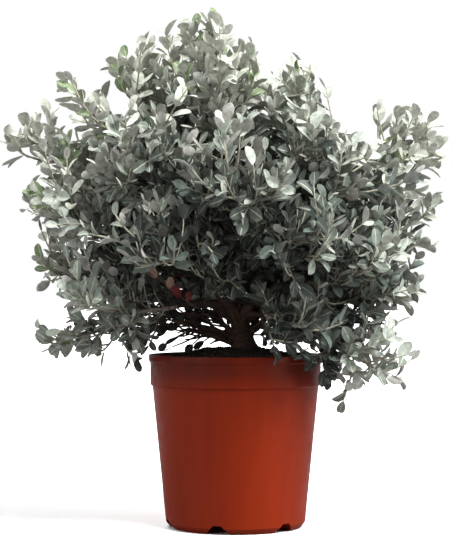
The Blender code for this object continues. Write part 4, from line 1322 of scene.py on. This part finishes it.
def crumb_tree():
    """Crumbs scattered over the open top of the soil and joined to it."""
    inputs = (
        ("Geometry", "Geometry", None),
        ("Density", "Float", CRUMBS),
        ("Radius", "Float", CRUMB_RADIUS),
        ("Edge height", "Float", SOIL_EDGE),
        ("Earth", "Material", None),
    )
    nodes, given, made = new_group("soil crumbs", "GeometryNodeTree", inputs, (("Geometry", "Geometry"),))
    place = nodes.add("ShaderNodeSeparateXYZ", {0: nodes.add("GeometryNodeInputPosition").outputs[0]})
    feed = {0: place.outputs["Z"], 1: given["Edge height"]}
    open_top = nodes.add("FunctionNodeCompare", feed, operation="GREATER_THAN")
    feed = {
        "Mesh": given["Geometry"],
        "Selection": open_top.outputs[0],
        "Density": given["Density"],
        "Seed": CRUMB_SEEDS[0],
    }
    points = nodes.add("GeometryNodeDistributePointsOnFaces", feed)
    ball = nodes.add("GeometryNodeMeshIcoSphere", {"Radius": given["Radius"], "Subdivisions": 1})
    feed = {0: CRUMB_SIZES[0], 1: CRUMB_SIZES[1], "Seed": CRUMB_SEEDS[1]}
    size = nodes.add("FunctionNodeRandomValue", feed, data_type="FLOAT_VECTOR")
    feed = {0: CRUMB_TURNS[0], 1: CRUMB_TURNS[1], "Seed": CRUMB_SEEDS[2]}
    turn = nodes.add("FunctionNodeRandomValue", feed, data_type="FLOAT_VECTOR")
    feed = {
        "Points": points.outputs["Points"],
        "Instance": ball.outputs[0],
        "Rotation": turn.outputs[0],
        "Scale": size.outputs[0],
    }
    crumbs = nodes.add("GeometryNodeInstanceOnPoints", feed)
    whole = nodes.add("GeometryNodeJoinGeometry")
    nodes.tree.links.new(crumbs.outputs[0], whole.inputs[0])
    nodes.tree.links.new(given["Geometry"], whole.inputs[0])
    plain = nodes.add("GeometryNodeRealizeInstances", {0: whole.outputs[0]})
    finish = nodes.add("GeometryNodeSetMaterial", {0: plain.outputs[0], "Material": given["Earth"]})
    nodes.tree.links.new(finish.outputs[0], made["Geometry"])
    return nodes.tree


def build_soil(finish):
    """The root ball, rising to the stem, with a rough top."""
    gap = WALL + 2 * CLEAR
    band = POT_HEIGHT - BAND_HEIGHT
    bottom = mix(CORNER_RADIUS, WALL_TOP_RADIUS, (SOIL_FLOOR - CORNER_HEIGHT) / (band - CORNER_HEIGHT))
    profile = [
        (0, SOIL_FLOOR),
        (bottom - gap, SOIL_FLOOR),
        (WALL_TOP_RADIUS - gap, band - STEP_HEIGHT),
        (WALL_TOP_RADIUS - gap, band + SOIL_STEP[0]),
        (BAND_RADIUS - gap, band + SOIL_STEP[1]),
        (MOUTH_RADIUS - gap - SOIL_SLACK, SOIL_EDGE - SOIL_SHOULDER),
        (MOUTH_RADIUS - gap - SOIL_BEVEL, SOIL_EDGE),
    ]
    edge = profile[-1][0]
    for k in range(1, SOIL_RINGS + 1):
        radius = edge * (1 - k / SOIL_RINGS)
        rise = min(1.0, (edge - radius) / (edge - SOIL_PAD))
        profile.append((radius, mix(SOIL_EDGE, SOIL_TOP, rise ** SOIL_SLOPE)))
    points, faces = lathe(profile, SOIL_SEGMENTS)
    mesh = new_mesh("root_ball", points, faces=faces)
    for vertex in mesh.vertices:
        place = vertex.co
        if place.z >= SOIL_EDGE - SOIL_ROUGH_FROM:
            coarse = noise.fractal(place * SOIL_CLODS, 1.0, 2.0, 4)
            inward = min(1.0, (edge - math.hypot(place.x, place.y)) / SOIL_SOFT_EDGE)
            place.z += SOIL_ROUGHNESS * coarse * inward
    mesh.shade_smooth()
    soil = grown("root_ball", mesh, crumb_tree(), earth=finish)
    dress(soil, ["soil"])


def tube(path, radii, sides):
    """Points and faces of a round bar along path, closed at both ends."""
    points, faces = [], []
    across = crosswise(tangents(path)[0])
    for centre, along, radius in zip(path, tangents(path), radii):
        across = (across - along * across.dot(along)).normalized()
        square = along.cross(across)
        turns = [math.tau * k / sides for k in range(sides)]
        points += [centre + (across * math.cos(a) + square * math.sin(a)) * radius for a in turns]
    for ring in range(len(path) - 1):
        low = ring * sides
        for k in range(sides):
            after = (k + 1) % sides
            faces.append((low + k, low + after, low + sides + after, low + sides + k))
    last = (len(path) - 1) * sides
    faces.append(tuple(reversed(range(sides))))
    faces.append(tuple(range(last, last + sides)))
    return points, faces


def limb_tube(path, radii, sides):
    """A smooth limb, thicker over a short length where it springs from another."""
    path = smoothed(path, LIMB_FINE)
    length, thickness = path_length(path), []
    for run in runs(path):
        swell = COLLAR * math.exp(-run / COLLAR_LENGTH)
        thickness.append(mix(*radii, run / length) * (1 + swell))
    return tube(path, thickness, sides)


def trunk_tube():
    """The trunk from below the soil's surface, with its root flare."""
    path = trunk_path()
    path = smoothed([path[0] - UP * TRUNK_SUNK] + path, TRUNK_FINE)
    length = path_length(path)
    radii = [mix(*TRUNK_RADII, run / length) for run in runs(path)]
    points, faces = tube(path, radii, TRUNK_SIDES)
    for number, point in enumerate(points):
        rise = min(1.0, max(0.0, 1 - (point.z - TRUNK_FOOT.z) / FLARE_HEIGHT))
        out = Vector((point.x - TRUNK_FOOT.x, point.y - TRUNK_FOOT.y, 0))
        if out.length > 1e-6:
            lobe = 1 - BUTTRESS_LOBE + BUTTRESS_LOBE * math.cos(BUTTRESSES * math.atan2(out.y, out.x))
            points[number] = point + out.normalized() * FLARE * rise * rise * lobe
    return points, faces


def basal_path(height, tip):
    """A shoot that rises from the foot of the trunk and spreads out low over the pot."""
    foot = TRUNK_FOOT + UP * height
    return bend(foot, foot.lerp(tip, BASAL_BEND) + UP * BASAL_RISE, tip, LIMB_RINGS)


def limb_samples(limbs):
    """Points along every limb with its direction and thickness, for the bark's furrows."""
    samples = []
    for path, radii in limbs:
        fine = smoothed(path, GRAIN_FINE)
        for k, (point, along) in enumerate(zip(fine, tangents(fine))):
            samples.append((point, along, mix(*radii, k / (len(fine) - 1))))
    return samples, nearest_tree([point for point, _, _ in samples])


def all_limbs(mains, sides):
    """Path and thickness of the trunk and of every bough."""
    limbs = [(trunk_path(), TRUNK_RADII)]
    limbs += [(path, MAIN_RADII) for path in mains.values()]
    return limbs + [(path, SIDE_RADII) for path in sides.values()]


def build_limbs(finish, mains, sides):
    """One skin over trunk and boughs, with forks that flow together and furrowed bark."""
    basal = [(basal_path(height, tip), radii) for height, tip, radii in BASAL_SHOOTS]
    shapes = [trunk_tube()]
    shapes += [limb_tube(path, radii, SIDE_SIDES) for path, radii in basal]
    shapes += [limb_tube(path, MAIN_RADII, MAIN_SIDES) for path in mains.values()]
    shapes += [limb_tube(path, SIDE_RADII, SIDE_SIDES) for path in sides.values()]
    points, faces = [], []
    for some_points, some_faces in shapes:
        first = len(points)
        points += some_points
        faces += [tuple(first + k for k in face) for face in some_faces]
    bark = add_object("trunk_and_boughs", new_mesh("trunk_and_boughs", points, faces=faces))
    skin = bark.modifiers.new("skin", "REMESH")
    skin.mode = "VOXEL"
    skin.voxel_size = BARK_GRID
    ease = bark.modifiers.new("ease", "SMOOTH")
    ease.factor = 0.5
    ease.iterations = BARK_EASE
    settled(bark)
    samples, tree = limb_samples(all_limbs(mains, sides) + basal)
    mesh = bark.data
    furrows, moved = [], []
    for vertex in mesh.vertices:
        _, number, _ = tree.find(vertex.co)
        _, along, radius = samples[number]
        length = vertex.co.dot(along)
        drawn = vertex.co - along * length * (1 - 1 / BARK_STRETCH)
        share = min(1.0, radius / TRUNK_RADII[0])
        ridge = abs(noise.noise(drawn * BARK_FURROWS)) * 2 - 0.5
        knots = noise.noise(vertex.co * BARK_KNOTS) * KNOT_DEPTH
        depth = mix(*BARK_RELIEF, share)
        moved.extend(vertex.co + vertex.normal * depth * (ridge + knots))
        furrows.extend(drawn)
    mesh.vertices.foreach_set("co", moved)
    mesh.attributes.new("grain", "FLOAT_VECTOR", "POINT").data.foreach_set("vector", furrows)
    mesh.materials.clear()
    mesh.materials.append(finish)
    mesh.shade_smooth()
    names = ["trunk", *mains, *("side_" + name for name in sides)]
    dress(bark, names)


def speckle_group():
    """A mask of soft speckles, and the same pattern finer, for bumps."""
    inputs = (("Place", "Vector", None), ("Scale", "Float", 100.0), ("Contrast", "Float", 1.0))
    outputs = (("Mask", "Float"), ("Fine", "Float"))
    nodes, given, made = new_group("speckle", "ShaderNodeTree", inputs, outputs)
    feed = {"Vector": given["Place"], "Scale": given["Scale"], "Detail": 4.0}
    coarse = nodes.add("ShaderNodeTexNoise", feed)
    fine_scale = nodes.math("MULTIPLY", given["Scale"], FINER)
    feed = {"Vector": given["Place"], "Scale": fine_scale, "Detail": 3.0}
    fine = nodes.add("ShaderNodeTexNoise", feed)
    centred = nodes.math("SUBTRACT", coarse.outputs[0], 0.5)
    spread = nodes.math("MULTIPLY_ADD", centred, given["Contrast"], 0.5)
    clamped = nodes.add("ShaderNodeClamp", {0: spread})
    nodes.tree.links.new(clamped.outputs[0], made["Mask"])
    nodes.tree.links.new(fine.outputs[0], made["Fine"])
    return nodes.tree


def new_material(name):
    made = bpy.data.materials.new(name)
    made.use_nodes = True
    nodes = Nodes(made.node_tree)
    shader = made.node_tree.nodes["Principled BSDF"]
    return made, nodes, shader


def feed_shader(nodes, shader, **sockets):
    nodes.feed(shader, {label.replace("_", " "): value for label, value in sockets.items()})


def ramp(nodes, value, *stops):
    """A colour that changes with a value, from (place, colour) stops."""
    node = nodes.add("ShaderNodeValToRGB", {0: value})
    elements = node.color_ramp.elements
    while len(elements) < len(stops):
        elements.new(0.5)
    for element, (place, colour) in zip(elements, stops):
        element.position = place
        element.color = (*colour, 1)
    return node.outputs[0]


def between(nodes, value, low, high):
    """A value from 0 to 1 as one from low to high."""
    return nodes.math("MULTIPLY_ADD", value, high - low, low)


def bump(nodes, height, strength, distance):
    node = nodes.add("ShaderNodeBump", {"Height": height, "Strength": strength, "Distance": distance})
    return node.outputs[0]


def own_place(nodes):
    return nodes.add("ShaderNodeTexCoord").outputs["Object"]


def speckles(nodes, speckle, place, look):
    feed = {"Place": place, "Scale": look[0], "Contrast": look[1]}
    return nodes.group("ShaderNodeGroup", speckle, feed)


def leaf_finish(name, colour, speckle):
    """Felted leaf: one colour, slightly mottled, with down that catches the light in a fine grain."""
    made, nodes, shader = new_material(name)
    place = own_place(nodes)
    felt = speckles(nodes, speckle, place, FELT)
    mottle = speckles(nodes, speckle, place, MOTTLE)
    dark, light = ([c * shade for c in colour] for shade in LEAF_MOTTLE)
    feed_shader(
        nodes, shader,
        Base_Color=ramp(nodes, mottle["Mask"], (0.1, dark), (0.9, light)),
        Roughness=between(nodes, felt["Mask"], 0.52, 0.78),
        Sheen_Weight=0.12,
        Sheen_Roughness=0.5,
        Specular_IOR_Level=0.35,
        Normal=bump(nodes, felt["Fine"], 0.25, 0.0004),
    )
    return made


def twig_finish(name, light, dark, speckle):
    """Young bark: pale down that wears off in patches."""
    made, nodes, shader = new_material(name)
    place = own_place(nodes)
    patches = speckles(nodes, speckle, place, WORN_DOWN)
    feed_shader(
        nodes, shader,
        Base_Color=ramp(nodes, patches["Mask"], (0.25, dark), (0.75, light)),
        Roughness=between(nodes, patches["Fine"], 0.65, 0.9),
        Normal=bump(nodes, patches["Fine"], 0.5, 0.0005),
    )
    return made


def bark_finish(speckle):
    """Dark, stringy bark with red-brown inner bark in its furrows."""
    made, nodes, shader = new_material("furrowed_bark")
    grain = nodes.add("ShaderNodeAttribute", attribute_name="grain").outputs["Vector"]
    strings = speckles(nodes, speckle, grain, STRINGS)
    place = own_place(nodes)
    patches = speckles(nodes, speckle, place, RED_PATCHES)
    dark = ramp(nodes, strings["Mask"], *DARK_STRINGS)
    red = ramp(nodes, strings["Mask"], *RED_STRINGS)
    feed = {0: patches["Mask"], 6: dark, 7: red}
    colour = nodes.add("ShaderNodeMix", feed, data_type="RGBA").outputs[2]
    feed_shader(
        nodes, shader,
        Base_Color=colour,
        Roughness=between(nodes, strings["Fine"], 0.70, 0.95),
        Normal=bump(nodes, strings["Mask"], 0.7, 0.0012),
    )
    return made


def soil_finish(speckle):
    """Damp, dark potting soil with a few brown fibres."""
    made, nodes, shader = new_material("dark_potting_soil")
    place = own_place(nodes)
    grains = speckles(nodes, speckle, place, GRAINS)
    feed_shader(
        nodes, shader,
        Base_Color=ramp(nodes, grains["Mask"], *SOIL_COLOURS),
        Roughness=between(nodes, grains["Fine"], 0.75, 1.0),
        Normal=bump(nodes, grains["Fine"], 0.9, 0.0016),
    )
    return made


def pot_finish(speckle):
    """Terracotta-coloured plastic: soft flow marks up the wall, scuffs, and painted shade in uneven patches
    towards the rim.
    """
    made, nodes, shader = new_material("terracotta_plastic")
    place = own_place(nodes)
    tall = nodes.add("ShaderNodeMapping", {"Vector": place, "Scale": FLOW_STRETCH}).outputs[0]
    flow = speckles(nodes, speckle, tall, FLOW_MARKS)
    scuffs = speckles(nodes, speckle, place, SCUFFS)
    patches = speckles(nodes, speckle, place, RIM_SHADE_PATCHES)
    # Painted shade: the wall darkens in uneven patches towards its rim, as the foliage above shades it.
    height = nodes.add("ShaderNodeSeparateXYZ", {0: place}).outputs["Z"]
    feed = {"Value": height, 1: RIM_PAINTED_SHADE[0], 2: RIM_PAINTED_SHADE[1]}
    high = nodes.add("ShaderNodeMapRange", feed).outputs[0]
    painted_shade = nodes.math("MULTIPLY", high, between(nodes, patches["Mask"], RIM_SHADE_LEAST, 1.0))
    shade = nodes.math("MULTIPLY_ADD", flow["Mask"], 0.5, 0.5)
    shade = nodes.math("MULTIPLY_ADD", painted_shade, -RIM_SHADE_DEPTH, shade)
    feed_shader(
        nodes, shader,
        Base_Color=ramp(nodes, shade, *POT_COLOURS),
        Roughness=between(nodes, scuffs["Mask"], 0.30, 0.50),
        Specular_IOR_Level=0.12,
        Normal=bump(nodes, scuffs["Fine"], 0.12, 0.0004),
    )
    return made


def build_foliage(speckle, mains, sides, box):
    """Stems, twigs and sprigs, and the leaves of every colour."""
    carriers = [sides["bough_" + arm.name] if arm.root else mains[arm.carrier] for arm in ARMS]
    stems = [stem_path(arm, carrier) for arm, carrier in zip(ARMS, carriers)]
    canopy = Canopy(stems, all_limbs(mains, sides), box)
    masses = [Mass(number, canopy) for number in range(len(ARMS))]
    for mass in masses:
        mass.grow(SIDE_RADII[1] if mass.arm.root else MAIN_RADII[1])
    inner = InnerGrowth(canopy, INNER_SEED)
    basal = [basal_path(height, tip) for height, tip, _ in BASAL_SHOOTS]
    for path in [*mains.values(), *sides.values(), *basal]:
        inner.grow(path, LIMB_SPRIG_FIRST)
    inner.grow_old_twig(sides[OLD_TWIG_CARRIER])
    for path in (*basal[:3], sides["bough_left_skirt"]):
        inner.grow_bare_twigs(path)
    canopy.count_leaves()
    for growth in (*masses, inner):
        growth.fill()
    nodes = ["foliage_" + arm.name for arm in ARMS]
    rods = shoot_tree()
    young = twig_finish("young_bark", *YOUNG_BARK, speckle)
    downy = twig_finish("downy_shoot", *DOWNY_SHOOT, speckle)
    aged_and_shaded = twig_finish("aged_twig", *AGED_AND_SHADED_TWIG, speckle)
    twigs = [shoot for mass in masses for shoot in mass.twigs]
    sprigs = [shoot for mass in masses for shoot in mass.sprigs]
    piece = grown("stems_and_twigs", shoot_mesh("twigs", twigs), rods, sides=6, bark=young)
    dress(piece, nodes)
    piece = grown("sprigs", shoot_mesh("sprigs", sprigs), rods, sides=4, bark=downy)
    dress(piece, nodes)
    # The limbs' own sprigs and the bare twigs get the dark old bark, deepened as painted shade.
    bare = shoot_mesh("inner_twigs", inner.twigs + inner.sprigs)
    dress(grown("inner_twigs", bare, rods, sides=4, bark=aged_and_shaded), nodes)
    masses.append(inner)
    unders = {name: leaf_finish(name, colour, speckle) for name, colour in UNDER_SIDES.items()}
    ribs = {name: leaf_finish(name, colour, speckle) for name, colour in RIBS.items()}
    placer = leaf_tree(blade_tree())
    rule = random.Random(FORM_SEED)
    for tint, (colour, under, rib) in TINTS.items():
        leaves = [leaf for mass in masses for leaf in mass.leaves[tint]]
        if not leaves:
            continue
        upper = leaf_finish(tint + "_leaf", colour, speckle)
        source = leaf_points(tint, leaves, rule)
        feed = {"upper": upper, "under": unders[under], "rib": ribs[rib]}
        piece = grown("leaves_" + tint, source, placer, **feed)
        dress(piece, nodes)


def build_stage():
    """A pale floor. It looks pale to the camera and throws less light up than it seems to."""
    far = FLOOR_REACH
    corners = [(-far, -far, 0), (far, -far, 0), (far, far, 0), (-far, far, 0)]
    mesh = new_mesh("floor", corners, faces=[(0, 1, 2, 3)])
    made, nodes, shader = new_material("pale_floor")
    seen = nodes.add("ShaderNodeLightPath").outputs["Is Camera Ray"]
    shade = nodes.math("MULTIPLY_ADD", seen, FLOOR_SEEN - FLOOR_BOUNCE, FLOOR_BOUNCE)
    feed_shader(nodes, shader, Base_Color=shade, Roughness=0.9, Specular_IOR_Level=0.0)
    mesh.materials.append(made)
    floor = add_object("floor", mesh)
    floor.location.z = -CLEAR


def build_light():
    """Soft studio light from far off, in a white surround that adds little light itself."""
    for name, place, spread, strength in LIGHTS:
        light = bpy.data.lights.new(name, "SUN")
        light.energy = strength
        light.angle = math.radians(spread)
        thing = add_object(name, light)
        thing.location = place
        thing.rotation_euler = (-Vector(place)).to_track_quat("-Z", "Y").to_euler()
    world = bpy.data.worlds.new("surround")
    bpy.context.scene.world = world
    world.use_nodes = True
    nodes = Nodes(world.node_tree)
    path = nodes.add("ShaderNodeLightPath").outputs
    towards = nodes.add("ShaderNodeTexCoord").outputs["Generated"]
    behind = nodes.add("ShaderNodeSeparateXYZ", {0: towards}).outputs["Y"]
    feed = {"Value": behind, 1: GLOSS_TURN[0], 2: GLOSS_TURN[1]}
    share = nodes.add("ShaderNodeMapRange", feed).outputs[0]
    mirrored = between(nodes, share, *GLOSS_LIGHTS)
    strength = nodes.add("ShaderNodeMix", {0: path["Is Glossy Ray"], 2: SOFT_LIGHT, 3: mirrored})
    strength = nodes.math("MAXIMUM", strength.outputs[0], path["Is Camera Ray"])
    back = world.node_tree.nodes["Background"]
    back.inputs["Color"].default_value = (1, 1, 1, 1)
    world.node_tree.links.new(strength, back.inputs["Strength"])
    bpy.context.scene.view_settings.view_transform = "Standard"


def build_camera():
    camera = bpy.data.cameras.new("camera")
    camera.sensor_width = SENSOR
    camera.lens = FOCAL_PIXELS * SENSOR / PHOTO_HEIGHT
    thing = add_object("camera", camera)
    thing.location = (0, -CAMERA_AWAY, CAMERA_HEIGHT)
    up = math.atan((HORIZON_ROW - PHOTO_HEIGHT / 2) / FOCAL_PIXELS)
    left = math.atan((AXIS_COLUMN - PHOTO_WIDTH / 2) / FOCAL_PIXELS)
    thing.rotation_euler = (math.pi / 2 + up, 0, left)
    bpy.context.scene.camera = thing


def main():
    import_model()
    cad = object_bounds()
    build_camera()
    speckle = speckle_group()
    build_pot(pot_finish(speckle))
    build_soil(soil_finish(speckle))
    mains = {limb.name: main_path(limb) for limb in BOUGHS}
    sides = {"bough_" + arm.name: side_path(arm, mains[arm.carrier]) for arm in ARMS if arm.root}
    build_limbs(bark_finish(speckle), mains, sides)
    build_foliage(speckle, mains, sides, cad)
    build_stage()
    build_light()


main()
